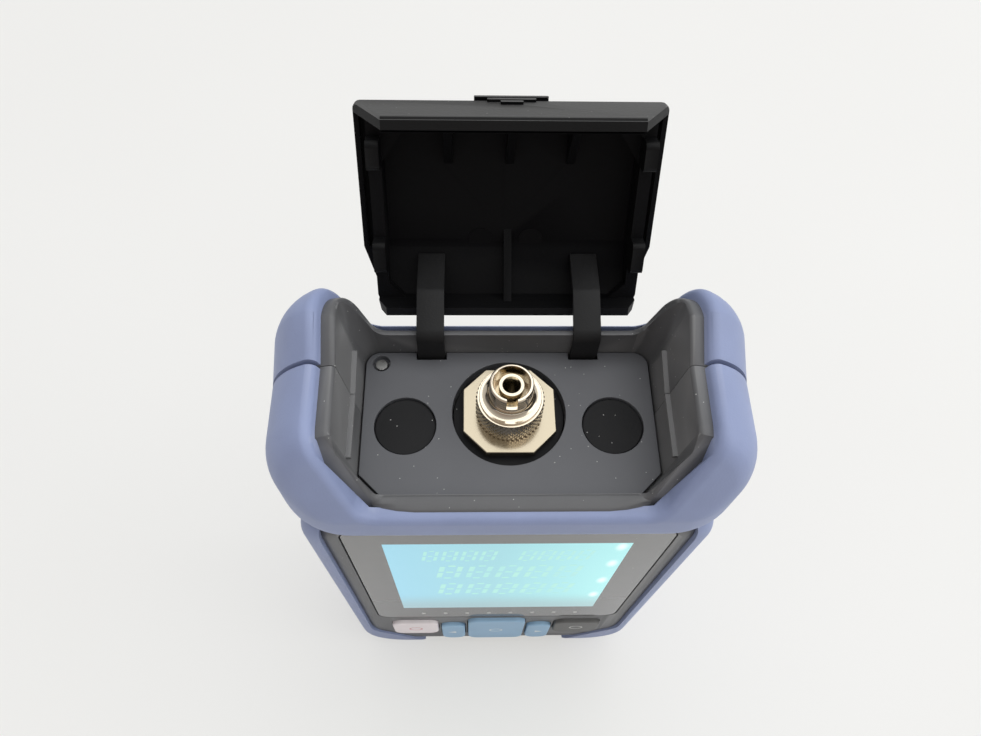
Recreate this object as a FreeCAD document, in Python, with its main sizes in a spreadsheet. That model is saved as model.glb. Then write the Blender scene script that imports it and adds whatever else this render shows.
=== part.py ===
"""Handheld optical power meter with a strapped rubber dust cap, standing upright and open.

Millimetres. X runs to the right, Y to the back and Z up. The origin is on the base, below the line
through the two blanked side ports. The connector panel lies at panel_level, between two raised ears.
"""
import FreeCAD, Part
import math
import os
import re
import Sketcher

Vector = FreeCAD.Vector
doc = FreeCAD.newDocument("optical_power_meter")

SIZES = {
    # Rubber-covered outside
    "grip_width": 79.4, "head_width": 84.4, "front_depth": 19.5, "rear_depth": 18.8,
    "ear_rise": 20.8, "head_drop": 15.0, "base_corner": 14.0,
    "head_corner": 14.0, "ear_corner": 13.5, "front_round": 12.0, "rear_round": 9.0, "neck_round": 8.0,
    "grip_round": 6.5, "grip_proud": 0.6, "crest_round": 1.6, "slope_round": 5.0, "slope_lean": 20.8,
    # Skin over the hard shells
    "skin": 2.5, "face_skin": 1.5, "rim_rise": 2.2, "lip_width": 2.2, "seam_gap": 0.7,
    "band_width": 4.4, "strip_drop": 5.4, "foot_width": 42.0, "foot_height": 20.0,
    "back_width": 66.0, "back_margin": 9.0,
    # Hard shells
    "wall": 2.2, "part_line": 2.5, "joint_gap": 0.1, "deck": 2.0, "lip_rise": 2.6,
    "rear_rim": 5.6, "bay_width": 55.6, "bay_front": 14.1, "bay_rear": 15.8, "bay_draft": 6.5,
    "bay_chamfer": 4.2, "bay_corner": 3.0, "valley_width": 47.6, "valley_lean": 22.0, "valley_round": 2.5,
    "lip_round": 1.0, "rail_level": 7.0, "rail_size": 0.8, "rail_front": 9.5, "rail_back": 10.5,
    # Connector panel and what sits in it
    "panel_thick": 2.0, "panel_gap": 0.15, "port_spread": 38.86, "port_radius": 5.8,
    "plug_gap": 0.12, "plug_sink": 0.5, "hub_offset": 2.7, "hub_hole": 10.7,
    "screw_across": 24.5, "screw_back": 13.25, "screw_sink": 1.3, "screw_head": 1.55,
    "screw_shank": 0.85, "screw_room": 0.15, "screw_length": 5.0, "screw_head_thick": 1.0,
    "plug_edge": 0.3,
    # Detector hub and fibre adapter
    "flange_size": 17.3, "flange_chamfer": 4.3, "flange_thick": 1.6, "flange_rise": 1.0,
    "stub_radius": 4.6, "stub_height": 4.0, "hub_radius": 6.8, "hub_depth": 6.0, "window_radius": 1.6,
    "thread_gap": 0.08, "seat_sink": 1.8, "seat_depth": 4.2, "seat_flange": 0.4, "seat_gap": 0.2,
    "seat_ring": 8.2, "plate_edge": 0.25, "ring_edge": 0.3,
    "knurl_radius": 6.3, "knurl_height": 5.3, "shoulder_radius": 5.7, "shoulder_height": 0.6,
    "barrel_radius": 4.0, "barrel_bore": 3.35, "adapter_height": 11.0, "rim_chamfer": 0.25,
    "flare": 1.3, "web": 0.9, "web_clear": 0.3, "key_width": 1.95, "key_depth": 2.9,
    "sleeve_radius": 2.25, "ferrule_radius": 1.25, "sleeve_drop": 0.8, "collar_radius": 3.0,
    "collar_height": 1.0, "sleeve_gap": 0.08, "mouth_radius": 1.65,
    "diode_radius": 2.7, "diode_height": 3.4, "diode_gap": 0.1, "sensor_board": 9.0,
    "board_thick": 1.6, "mouth_depth": 0.8, "lead_radius": 0.22, "lead_length": 3.4, "lead_spread": 2.54,
    # Dust cap, drawn shut and then swung open
    "cap_width": 55.6, "cap_front": 19.6, "cap_rear": 18.8, "cap_height": 17.5, "cap_wall": 1.7,
    "cap_rest": 0.5, "cap_slope_start": 8.0, "cap_slope_drop": 5.0, "cap_round": 2.5, "cap_bend": 6.0,
    "cap_step": 3.4, "cap_rim": 0.9, "cap_chamfer": 3.0,
    "cap_front_edge": 44.2, "cap_rear_edge": 46.8, "cap_rear_width": 49.2,
    "flap_inset": 2.5, "flap_thick": 2.3, "flap_skirt": 10.2, "lobe_drop": 3.2, "lobe_front": -15.0,
    "lobe_back": 4.2, "lobe_long": 5.4, "lobe_short": 6.2, "lobe_round": 1.2,
    "rib_thick": 1.5, "rib_reach": 2.6, "rib_spread": 11.2, "rib_run": 6.4,
    "bead_radius": 1.25, "gusset_reach": 12.0, "grip_long": 6.6, "grip_step": 2.3,
    "grip_pitch": 1.4, "grip_bar": 0.9, "grip_lift": 0.5, "grip_drop": 0.7, "hinge_back": 19.6,
    "hinge_rise": 4.75, "open_angle": 116.0,
    "strap_width": 5.2, "strap_thick": 1.1, "strap_spread": 29.6,
    "strap_gap": 0.3, "strap_root": 9.0, "strap_crest": 6.9, "strap_reach": 8.4, "strap_climb": 2.9,
    "strap_bend": 2.2, "strap_fold": 1.6, "strap_end_reach": 9.0, "strap_end_drop": 0.5,
    # Display, keys and board
    "lens_width": 64.0, "lens_top": 7.3, "lens_height": 78.4, "lens_thick": 1.2, "lens_corner": 4.0,
    "lens_gap": 0.3, "window_width": 48.0, "window_top": 16.0, "window_height": 58.0,
    "window_room": 0.6,
    "glass_margin": 1.5, "glass_thick": 2.0, "light_thick": 3.0, "holder_rim": 0.8,
    "fit_gap": 0.15, "stack_gap": 0.1,
    "key_gap": 0.25, "key_proud": 1.1, "key_flange": 0.8, "key_flange_thick": 0.9, "key_travel": 0.6,
    "key_edge": 0.5, "key_corner": 3.0, "key_base": 9.6, "key_space": 0.9, "lens_clear": 1.7,
    "side_key_width": 12.6, "side_key_height": 13.6, "side_key_drop": 2.2, "arrow_lift": 0.4,
    "arrow_width": 6.6, "arrow_height": 18.0, "enter_width": 15.8, "enter_height": 24.0,
    "mat_gap": 0.3, "mat_thick": 0.8, "mat_margin": 0.5, "plunger_radius": 2.0, "dome_radius": 2.4,
    "dome_height": 0.5, "dome_gap": 0.3,
    "board_width": 52.0, "board_base": 6.5, "board_drop": 6.5, "board_set": 6.0, "post_radius": 1.9,
    "post_spread": 44.0, "post_gap": 2.75, "pin_radius": 0.9, "pin_head": 1.7, "pin_head_thick": 1.2,
    "pin_length": 4.5, "buzzer_radius": 6.0, "buzzer_height": 5.0, "buzzer_across": 12.0,
    "buzzer_drop": 23.0,
    # Case screws and battery bay
    "boss_radius": 3.8, "boss_spread": 61.0, "boss_low": 12.0, "boss_drop": 18.0,
    "case_screw": 1.25, "case_head": 2.5, "case_head_thick": 1.8, "case_head_back": 6.0,
    "case_length": 13.0, "hole_room": 0.2, "pilot_room": 0.02,
    "cell_radius": 7.2, "cell_length": 50.5, "cell_pitch": 14.8, "cell_nipple": 2.6,
    "nipple_height": 1.0, "tray_wall": 1.5, "tray_base": 21.0, "spring_room": 6.0,
    "contact_room": 0.8, "leaf_thick": 0.35, "leaf_width": 8.0, "door_lap": 2.0,
    "door_thick": 1.4, "door_gap": 0.25, "door_tab": 7.0, "door_screw_set": 3.8, "door_boss": 3.0,
    "door_corner": 3.0, "door_screw_length": 7.0,
}

sheet = doc.addObject("Spreadsheet::Sheet", "Sizes")
for row, (alias, size) in enumerate(SIZES.items(), 1):
    sheet.set("A%d" % row, alias)
    sheet.set("B%d" % row, str(size))
    sheet.setAlias("B%d" % row, alias)
doc.recompute()

NODES = {}
# Sizes that follow from others
DERIVED = {
    "panel_level": "key_base + enter_height + lens_clear + lens_height + lens_top",
    "enter_up": "key_base + enter_height / 2",
    "arrow_up": "key_base + arrow_lift + arrow_height / 2",
    "side_key_up": "key_base + enter_height - side_key_drop - side_key_height / 2",
    "arrow_across": "enter_width / 2 + key_space + arrow_width / 2",
    "power_across": "enter_width / 2 + 2 * key_space + arrow_width + side_key_width / 2"}


def named(expression):
    """The expression with each size's name pointing into the sheet."""
    def point(word):
        if word.group() in DERIVED:
            return "(%s)" % named(DERIVED[word.group()])
        return "Sizes." + word.group() if word.group() in SIZES else word.group()
    return re.sub(r"[a-z][a-z_]*", point, str(expression))


def value(expression):
    """The present value of an expression, in millimetres or degrees."""
    found = sheet.evalExpression(named(expression))
    return float(getattr(found, "Value", found))


def bind(thing, prop, expression):
    thing.setExpression(prop, named(expression))


def keep(node, thing):
    """Label a finished piece with its node's name."""
    thing.Label = node
    NODES[node] = thing
    return thing


def new_body(name):
    return doc.addObject("PartDesign::Body", name)


def new_sketch(body, plane, offset):
    """A sketch on one of the body's own planes, moved along the plane's normal."""
    sketch = body.newObject("Sketcher::SketchObject", body.Name + "_sketch")
    role = plane + "_Plane"
    support = [feature for feature in body.Origin.OriginFeatures if feature.Role == role][0]
    sketch.AttachmentSupport = [(support, "")]
    sketch.MapMode = "FlatFace"
    bind(sketch, "AttachmentOffset.Base.z", offset)
    doc.recompute()
    return sketch


def place_point(sketch, geometry, end, across, up):
    """Tie a point of the sketch to two expressions."""
    first = sketch.addConstraint([
        Sketcher.Constraint("DistanceX", -1, 1, geometry, end, value(across)),
        Sketcher.Constraint("DistanceY", -1, 1, geometry, end, value(up))])[0]
    bind(sketch, "Constraints[%d]" % first, across)
    bind(sketch, "Constraints[%d]" % (first + 1), up)


def draw_path(sketch, corners, closed):
    """Straight sides through corners (across, up[, radius]), with tangent arcs at rounded corners."""
    corners = [tuple(corner) + ("",) * (3 - len(corner)) for corner in corners]
    points = [Vector(value(across), value(up), 0) for across, up, _ in corners]
    count = len(points)
    area = sum(a.x * b.y - b.x * a.y for a, b in zip(points, points[1:] + points[:1]))
    if closed and area < 0:
        corners.reverse()
        points.reverse()
    arrive, leave, turns = [], [], []
    for here in range(count):
        inward = (points[here] - points[here - 1]).normalize()
        outward = (points[(here + 1) % count] - points[here]).normalize()
        turn = inward.x * outward.y - inward.y * outward.x
        reach = 0
        if corners[here][2]:
            reach = value(corners[here][2]) * math.tan(inward.getAngle(outward) / 2)
        arrive.append(points[here] - inward * reach)
        leave.append(points[here] + outward * reach)
        turns.append(turn)
    sides = count if closed else count - 1
    lines = sketch.addGeometry([Part.LineSegment(leave[side], arrive[(side + 1) % count])
                                for side in range(sides)])
    for here in range(count):
        across, up, radius = corners[here]
        if not closed and here in (0, count - 1):
            place_point(sketch, lines[0 if here == 0 else -1], 1 if here == 0 else 2, across, up)
            continue
        before, after = lines[here - 1], lines[here]
        if not radius:
            sketch.addConstraint(Sketcher.Constraint("Coincident", before, 2, after, 1))
            place_point(sketch, after, 1, across, up)
            continue
        inward = (points[here] - points[here - 1]).normalize()
        side = Vector(-inward.y, inward.x, 0) * math.copysign(value(radius), turns[here])
        centre = arrive[here] + side
        angles = [math.atan2(point.y - centre.y, point.x - centre.x)
                  for point in (arrive[here], leave[here])]
        start, stop = (1, 2) if turns[here] > 0 else (2, 1)
        if turns[here] < 0:
            angles.reverse()
        circle = Part.Circle(centre, Vector(0, 0, 1), value(radius))
        arc = sketch.addGeometry(Part.ArcOfCircle(circle, angles[0], angles[1]))
        corner = sketch.addGeometry(Part.Point(points[here]), True)
        sketch.addConstraint([Sketcher.Constraint("Tangent", before, 2, arc, start),
                              Sketcher.Constraint("Tangent", arc, stop, after, 1),
                              Sketcher.Constraint("PointOnObject", corner, 1, before),
                              Sketcher.Constraint("PointOnObject", corner, 1, after)])
        place_point(sketch, corner, 1, across, up)
        bind(sketch, "Constraints[%d]" % sketch.addConstraint(
            Sketcher.Constraint("Radius", arc, value(radius))), radius)


def draw_circle(sketch, across, up, radius):
    centre = Vector(value(across), value(up), 0)
    circle = sketch.addGeometry(Part.Circle(centre, Vector(0, 0, 1), value(radius)))
    place_point(sketch, circle, 3, across, up)
    bind(sketch, "Constraints[%d]" % sketch.addConstraint(
        Sketcher.Constraint("Radius", circle, value(radius))), radius)


def box_corners(left, right, low, high, radius=""):
    return [(left, low, radius), (right, low, radius), (right, high, radius), (left, high, radius)]


def prism(body, feature, plane, start, end, loops=(), circles=()):
    """Add or cut the space between two levels of a plane's axis, inside the drawn outlines."""
    before = body.Shape.Volume if body.Tip else 0
    level = "-(%s)" % end if plane == "XZ" else start
    sketch = new_sketch(body, plane, level)
    for corners in loops:
        draw_path(sketch, corners, True)
    for across, up, radius in circles:
        draw_circle(sketch, across, up, radius)
    made = body.newObject("PartDesign::" + feature, body.Name + "_" + feature.lower())
    made.Profile = sketch
    made.Reversed = feature == "Pocket"
    bind(made, "Length", "(%s) - (%s)" % (end, start))
    doc.recompute()
    gained = body.Shape.Volume - before
    if (gained < 0) != (feature == "Pocket") or abs(gained) < 1e-6:
        raise RuntimeError("%s changes nothing on %s" % (made.Name, body.Name))
    return made


def add(body, plane, start, end, loops=(), circles=()):
    return prism(body, "Pad", plane, start, end, loops, circles)


def cut(body, plane, start, end, loops=(), circles=()):
    return prism(body, "Pocket", plane, start, end, loops, circles)


def round_edges(body, radius, choose):
    """Round the edges of the body's last feature that the test picks."""
    tip = body.Tip
    names = ["Edge%d" % number for number, edge in enumerate(tip.Shape.Edges, 1) if choose(edge)]
    made = body.newObject("PartDesign::Fillet", body.Name + "_fillet")
    made.Base = (tip, names)
    bind(made, "Radius", radius)
    doc.recompute()
    return made


def lies_at(axis, level):
    """A test for edges that lie wholly in one plane across an axis."""
    place = value(level)

    def test(edge):
        box = edge.BoundBox
        low, high = {"x": (box.XMin, box.XMax), "y": (box.YMin, box.YMax),
                     "z": (box.ZMin, box.ZMax)}[axis]
        return abs(low - place) < 0.01 and abs(high - place) < 0.01
    return test


def lies_along(point, normal):
    """A test for edges that lie wholly in a leaning plane."""
    def test(edge):
        places = [vertex.Point for vertex in edge.Vertexes] + [edge.CenterOfMass]
        return all(abs((place - point).dot(normal)) < 0.01 for place in places)
    return test


def revolve(body, profile, shift):
    """Turn a closed profile (radius, height) about the upright axis at the given Y."""
    sketch = new_sketch(body, "XZ", "-(%s)" % shift)
    draw_path(sketch, profile, True)
    made = body.newObject("PartDesign::Revolution", body.Name + "_turned")
    made.Profile = sketch
    made.ReferenceAxis = (sketch, ["V_Axis"])
    made.Angle = 360
    doc.recompute()
    return made


def combine(kind, name, first, second):
    """A boolean of two shapes, or of one shape and a list of tools."""
    if isinstance(second, list):
        group = doc.addObject("Part::MultiFuse", name + "_tools")
        group.Shapes = second
        second = group
    made = doc.addObject("Part::" + kind, name)
    made.Base = first
    made.Tool = second
    doc.recompute()
    return made


def cylinder(name, radius, length, across, back, up, along="z"):
    """A round bar from a point, along +Z or +Y."""
    made = doc.addObject("Part::Cylinder", name)
    bind(made, "Radius", radius)
    bind(made, "Height", length)
    if along == "y":
        made.Placement.Rotation = FreeCAD.Rotation(Vector(1, 0, 0), -90)
    for axis, place in zip("xyz", (across, back, up)):
        bind(made, "Placement.Base." + axis, place)
    doc.recompute()
    return made


def block(name, left, right, front, back, low, high):
    made = doc.addObject("Part::Box", name)
    for prop, axis, start, end in (("Length", "x", left, right), ("Width", "y", front, back),
                                   ("Height", "z", low, high)):
        bind(made, prop, "(%s) - (%s)" % (end, start))
        bind(made, "Placement.Base." + axis, start)
    doc.recompute()
    return made


def group(node, pieces):
    """Like pieces that share one node."""
    made = doc.addObject("Part::Compound", node)
    made.Links = pieces
    doc.recompute()
    return keep(node, made)


# Levels that several pieces share
TOP = "(panel_level + ear_rise)"
FACE = "(face_skin - front_depth)"
BACK = "(rear_depth - face_skin)"
INNER_FACE = "(face_skin - front_depth + wall)"
INNER_BACK = "(rear_depth - face_skin - wall)"
DECK_TOP = "(panel_level - panel_thick)"
DECK_BASE = "(panel_level - panel_thick - deck)"
FAR = "(head_width + panel_level)"
BAY_TOP = "(panel_level + 2 * ear_rise)"


def bay_corners(level, grow):
    """The connector bay's outline at one level, grown outwards on every side."""
    lean = "((%s) - panel_level) * tan(bay_draft)" % level
    half = "(bay_width / 2 + %s + %s)" % (lean, grow)
    front = "(bay_front + %s + %s)" % (lean, grow)
    back = "(bay_rear + %s)" % grow
    chamfer = "(bay_chamfer + (%s) * (2 - sqrt(2)))" % grow
    corner = "bay_corner + (%s)" % grow
    return [("-" + half, back, corner), ("-" + half, "%s - %s" % (chamfer, front)),
            ("%s - %s" % (chamfer, half), "-" + front), ("%s - %s" % (half, chamfer), "-" + front),
            (half, "%s - %s" % (chamfer, front)), (half, back, corner)]


def cut_bay(body, grow):
    """The drafted bay between the ears, open at the top."""
    low, high = new_sketch(body, "XY", DECK_TOP), new_sketch(body, "XY", BAY_TOP)
    draw_path(low, bay_corners(DECK_TOP, grow), True)
    draw_path(high, bay_corners(BAY_TOP, grow), True)
    made = body.newObject("PartDesign::SubtractiveLoft", body.Name + "_bay")
    made.Profile = low
    made.Sections = [high]
    made.Ruled = True
    doc.recompute()


def cut_valley(body, bottom, front, back, grow):
    """The flared gap between the ears, from front to back above the rims."""
    low = "(valley_width / 2 + (%s - lip_rise) * tan(valley_lean) + (%s) / cos(valley_lean))" % (
        bottom, grow)
    high = "(valley_width / 2 + (2 * ear_rise - lip_rise) * tan(valley_lean) + (%s) / cos(valley_lean))" % (
        grow)
    base, crown, corner = "panel_level + " + bottom, "panel_level + 2 * ear_rise", "valley_round + " + grow
    cut(body, "XZ", front, back, [[("-" + low, base, corner), (low, base, corner), (high, crown),
                                   ("-" + high, crown)]])


def head_form(name, inset, face, rise, grow, front_floor, rear_floor, crest_edge):
    """The head as a rounded block with its ears leaning back at the front and the bay cut out."""
    body = new_body(name)
    half, low = "head_width / 2 - " + inset, "panel_level - head_drop + " + inset
    front, back = "%s - front_depth" % face, "rear_depth - " + face
    corner, crown = "head_corner - " + inset, "ear_corner - " + inset
    add(body, "XZ", front, back, [[
        ("-(%s)" % half, low, corner), (half, low, corner),
        (half, TOP + " - " + inset, crown), ("-(%s)" % half, TOP + " - " + inset, crown)]])
    round_edges(body, "front_round - " + face, lies_at("y", front))
    round_edges(body, "rear_round - " + face, lies_at("y", back))
    foot = "(%s / cos(slope_lean) - front_depth)" % inset
    base, crest = "panel_level + " + rise, "panel_level + %s + 2 * ear_rise" % rise
    cut(body, "YZ", "-head_width", "head_width", [[
        ("-2 * front_depth", base), (foot, base),
        (foot + " + 2 * ear_rise * tan(slope_lean)", crest), ("-2 * front_depth", crest)]])
    lean = math.radians(value("slope_lean"))
    if inset == "0":
        round_edges(body, "slope_round", lies_along(Vector(0, value(foot), value(base)),
                                                    Vector(0, math.cos(lean), -math.sin(lean))))
    cut_valley(body, rear_floor, "-head_width", "head_width", grow)
    cut_valley(body, front_floor, "-head_width", "0", grow)
    flare = math.radians(value("valley_lean"))
    half = value("valley_width / 2 + (%s) / cos(valley_lean)" % grow)
    walls = [lies_along(Vector(sign * half, 0, value("panel_level + lip_rise")),
                        Vector(sign * math.cos(flare), 0, -math.sin(flare))) for sign in (-1, 1)]
    level = value("panel_level + ear_rise / 2")
    round_edges(body, crest_edge, lambda edge: edge.BoundBox.ZMax > level and any(on(edge) for on in walls))
    cut_bay(body, grow)
    return body


def grip_form(name, inset, proud):
    """The handle below the head, a plain rounded block."""
    body = new_body(name)
    side = "(grip_width / 2 - %s)" % inset
    front, back = "%s - %s" % (FACE, proud), "%s + %s" % (BACK, proud)
    foot, neck = "base_corner - " + inset, "neck_round"
    crown = "panel_level - strip_drop"
    add(body, "XZ", front, back, [[("-" + side, inset, foot), (side, inset, foot),
                                   (side, crown, neck), ("-" + side, crown, neck)]])
    round_edges(body, "grip_round + (%s) - skin" % proud, lies_at("y", front))
    round_edges(body, "grip_round + (%s) - skin" % proud, lies_at("y", back))
    return body


# Hard core that carries the rubber skin
core = combine("Fuse", "core", head_form("core_head", "skin", "face_skin", "rim_rise - skin", "0",
                                         "lip_rise", "rear_rim", "lip_round"),
               grip_form("core_grip", "skin", "0"))

# Rubber skin, with its openings over the front face, the base and the back
cover = combine("Fuse", "cover", head_form("cover_head", "0", "0", "rim_rise", "lip_width",
                                           "rim_rise", "rear_rim - (lip_rise - rim_rise)", "crest_round"),
                grip_form("cover_grip", "0", "grip_proud"))
windows = new_body("skin_windows")
band = "(grip_width / 2 - band_width)"
add(windows, "XZ", "-2 * front_depth", "-front_depth / 2", [[
    ("-foot_width / 2", "-skin"), ("foot_width / 2", "-skin"), ("foot_width / 2", "skin"),
    (band, "foot_height", "base_corner - skin"), (band, "panel_level - strip_drop", "lens_corner"),
    ("-" + band, "panel_level - strip_drop", "lens_corner"),
    ("-" + band, "foot_height", "base_corner - skin"), ("-foot_width / 2", "skin")]])
back_window = new_body("back_window")
add(back_window, "XZ", "rear_depth / 2", "2 * rear_depth", [box_corners(
    "-back_width / 2", "back_width / 2", "back_margin", "panel_level - back_margin", "lens_corner")])
rubber = combine("Cut", "rubber", cover, [core, windows, back_window])
SEAM = "(part_line - seam_gap / 2)", "(part_line + seam_gap / 2)"
keep("front_bumper", combine("Common", "front_bumper", rubber, block(
    "front_half", "-" + FAR, FAR, "-" + FAR, SEAM[0], "-" + FAR, FAR)))
keep("rear_bumper", combine("Common", "rear_bumper", rubber, block(
    "rear_half", "-" + FAR, FAR, SEAM[1], FAR, "-" + FAR, FAR)))


# Hollow of the case, shared by both shells
cavity = new_body("cavity")
side, corner = "(grip_width / 2 - skin - wall)", "base_corner - skin - wall"
add(cavity, "XZ", INNER_FACE, INNER_BACK, [[
    ("-" + side, "skin + wall", corner), (side, "skin + wall", corner),
    (side, DECK_BASE, "grip_round - skin"), ("-" + side, DECK_BASE, "grip_round - skin")]])
for level in (INNER_FACE, INNER_BACK):
    round_edges(cavity, "grip_round - skin - wall", lies_at("y", level))

# Holes in the deck under the connector panel
hub_hole = cylinder("deck_hole", "hub_hole", "panel_thick + deck", "0", "hub_offset",
                    DECK_BASE + " - deck / 2")
screw_hole = cylinder("deck_screw_hole", "screw_shank + pilot_room", "screw_length", "-screw_across",
                      "screw_back", "panel_level - screw_sink - screw_length - pilot_room")
screw_boss = cylinder("deck_screw_boss", "screw_head + screw_room + pin_radius", "screw_length",
                      "-screw_across", "screw_back", "panel_level - screw_sink - screw_length - wall")
SIDES = (("left", "-"), ("right", ""))
strap_slots = []
for hand, sign in SIDES:
    middle = "(%s strap_spread / 2)" % sign
    reach = "(strap_width / 2 + strap_gap)"
    strap_slots.append(block("slot_" + hand, "%s - %s" % (middle, reach), "%s + %s" % (middle, reach),
                             "bay_rear - 2 * strap_gap - strap_thick", "bay_rear",
                             "panel_level - strap_root - strap_gap", "panel_level"))

# Thin rails along the bay's side walls, in both shells
RAIL_IN, RAIL_OUT = ("(bay_width / 2 + rail_level * tan(bay_draft) %s rail_size)" % sign for sign in "-+")
RAILS = {}
for shell, front, back in (("front", "-rail_front", "part_line"),
                           ("rear", "part_line + joint_gap", "rail_back")):
    RAILS[shell] = [block("rail_" + shell, left, right, front, back, "panel_level + rail_level",
                          "panel_level + rail_level + rail_size")
                    for left, right in (("-" + RAIL_OUT, "-" + RAIL_IN), (RAIL_IN, RAIL_OUT))]

# Keys: name, middle across, middle up, width, height
KEYS = (("key_power", "-power_across", "side_key_up", "side_key_width", "side_key_height"),
        ("key_left", "-arrow_across", "arrow_up", "arrow_width", "arrow_height"),
        ("key_enter", "0", "enter_up", "enter_width", "enter_height"),
        ("key_right", "arrow_across", "arrow_up", "arrow_width", "arrow_height"),
        ("key_light", "power_across", "side_key_up", "side_key_width", "side_key_height"))


def key_outline(across, up, width, height, wider, taller):
    """A key's rounded outline, grown sideways and in height."""
    half, rise = "(%s / 2 + %s)" % (width, wider), "(%s / 2 + %s)" % (height, taller)
    return box_corners("%s - %s" % (across, half), "%s + %s" % (across, half), "%s - %s" % (up, rise),
                       "%s + %s" % (up, rise), "key_corner + " + wider)


BOARD_FRONT = "(%s + board_set)" % INNER_FACE
for node, across, up, width, height in KEYS:
    key = new_body(node)
    add(key, "XZ", FACE + " - key_proud", INNER_FACE + " + stack_gap",
        [key_outline(across, up, width, height, "0", "0")])
    round_edges(key, "key_edge", lies_at("y", FACE + " - key_proud"))
    add(key, "XZ", INNER_FACE + " + stack_gap", INNER_FACE + " + stack_gap + key_flange_thick",
        [key_outline(across, up, width, height, "0", "key_flange")])
    keep(node, key)

# Front shell: recess for the lens, display window, key holes, bosses and posts
LENS_BASE = "(panel_level - lens_top - lens_height)"
WINDOW_BASE = "(panel_level - window_top - window_height)"


def front_opening(name, start, end, corners):
    made = new_body(name)
    add(made, "XZ", start, end, [corners])
    return made


lens_recess = front_opening("lens_recess", FACE + " - wall", FACE + " + lens_thick", box_corners(
    "-lens_width / 2", "lens_width / 2", LENS_BASE, LENS_BASE + " + lens_height", "lens_corner"))
display_hole = front_opening("display_hole", FACE, INNER_FACE + " + wall", box_corners(
    "-window_width / 2 - window_room", "window_width / 2 + window_room", WINDOW_BASE + " - window_room",
    WINDOW_BASE + " + window_height + window_room", "window_room"))
key_holes = [front_opening(node + "_hole", FACE + " - wall", INNER_FACE + " + wall / 2", key_outline(
    across, up, width, height, "key_gap", "key_gap")) for node, across, up, width, height in KEYS]
BOSSES = [(sign + "boss_spread / 2", up) for up in ("boss_low", "panel_level - boss_drop")
          for sign in ("-", "")]
POST_CLEAR = "(glass_margin + fit_gap + holder_rim + post_radius + post_gap)"
POSTS = [(sign + "post_spread / 2", up) for up in ("%s - %s" % (WINDOW_BASE, POST_CLEAR),
                                                   "panel_level - window_top + " + POST_CLEAR)
         for sign in ("-", "")]
HEAD_SEAT = "(%s - case_head_back)" % BACK
front_bosses = [cylinder("front_boss", "boss_radius", "part_line - %s" % INNER_FACE, across, INNER_FACE,
                         up, "y") for across, up in BOSSES]
front_pilots = [cylinder("front_pilot", "case_screw + pilot_room", "case_length", across,
                         HEAD_SEAT + " - case_length - hole_room", up, "y") for across, up in BOSSES]
posts = [cylinder("board_post", "post_radius", "board_set - stack_gap", across, INNER_FACE, up, "y")
         for across, up in POSTS]
post_holes = [cylinder("post_hole", "pin_radius + pilot_room", "board_set - wall", across,
                       INNER_FACE + " + wall", up, "y") for across, up in POSTS]
front_block = block("front_block", "-" + FAR, FAR, "-" + FAR, "part_line", "-" + FAR, FAR)
front_hollow = combine("Cut", "front_hollow", combine("Common", "front_core", core, front_block), cavity)
front_filled = combine("Fuse", "front_filled", front_hollow, front_bosses + posts + RAILS["front"])
keep("front_shell", combine("Cut", "front_shell", front_filled, [
    lens_recess, display_hole, hub_hole] + key_holes + front_pilots + post_holes))

# Battery bay, door and rear shell
CELL_BACK = "(%s - door_thick - fit_gap - cell_radius)" % BACK
TRAY_FLOOR = "(%s - cell_radius - fit_gap)" % CELL_BACK
TRAY_HALF = "(1.5 * cell_pitch + fit_gap)"
TRAY_LOW = "(tray_base + tray_wall)"
TRAY_HIGH = "(tray_base + tray_wall + spring_room + cell_length + contact_room)"
DOOR_HALF = "(%s + tray_wall + door_lap)" % TRAY_HALF
DOOR_LOW = "(tray_base - door_lap)"
DOOR_HIGH = "(%s + tray_wall + door_lap + door_tab)" % TRAY_HIGH
DOOR_SCREW = "(%s - door_screw_set)" % DOOR_HIGH
DOOR_SEAT = "(%s - door_thick)" % BACK
tray = block("tray", "-(%s + tray_wall)" % TRAY_HALF, TRAY_HALF + " + tray_wall",
             TRAY_FLOOR + " - tray_wall", INNER_BACK, "tray_base", TRAY_HIGH + " + tray_wall")
tray_room = block("tray_room", "-" + TRAY_HALF, TRAY_HALF, TRAY_FLOOR, "2 * rear_depth", TRAY_LOW, TRAY_HIGH)
door_recess = new_body("door_recess")
add(door_recess, "XZ", DOOR_SEAT, "2 * rear_depth", [box_corners(
    "-" + DOOR_HALF, DOOR_HALF, DOOR_LOW, DOOR_HIGH, "door_corner")])
door_post = cylinder("door_post", "door_boss", "case_length - case_head_thick", "0",
                     INNER_BACK + " - case_length + case_head_thick", DOOR_SCREW, "y")
door_pilot = cylinder("door_pilot", "case_screw + pilot_room", "case_length", "0",
                      DOOR_SEAT + " - door_screw_length - hole_room", DOOR_SCREW, "y")
rear_bosses = [cylinder("rear_boss", "boss_radius", "%s - part_line - joint_gap" % INNER_BACK, across,
                        "part_line + joint_gap", up, "y") for across, up in BOSSES]
rear_holes = [cylinder("rear_hole", "case_screw + hole_room", "2 * rear_depth", across, "part_line", up, "y")
              for across, up in BOSSES]
rear_sinks = [cylinder("rear_sink", "case_head + hole_room", "rear_depth", across, HEAD_SEAT, up, "y")
              for across, up in BOSSES]
rear_block = block("rear_block", "-" + FAR, FAR, "part_line + joint_gap", FAR, "-" + FAR, FAR)
rear_hollow = combine("Cut", "rear_hollow", combine("Common", "rear_core", core, rear_block), cavity)
rear_filled = combine("Fuse", "rear_filled", rear_hollow, rear_bosses + RAILS["rear"] + [
    tray, door_post, screw_boss])
keep("rear_shell", combine("Cut", "rear_shell", rear_filled, [
    tray_room, door_recess, door_pilot, hub_hole, screw_hole] + strap_slots + rear_holes + rear_sinks))

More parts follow.
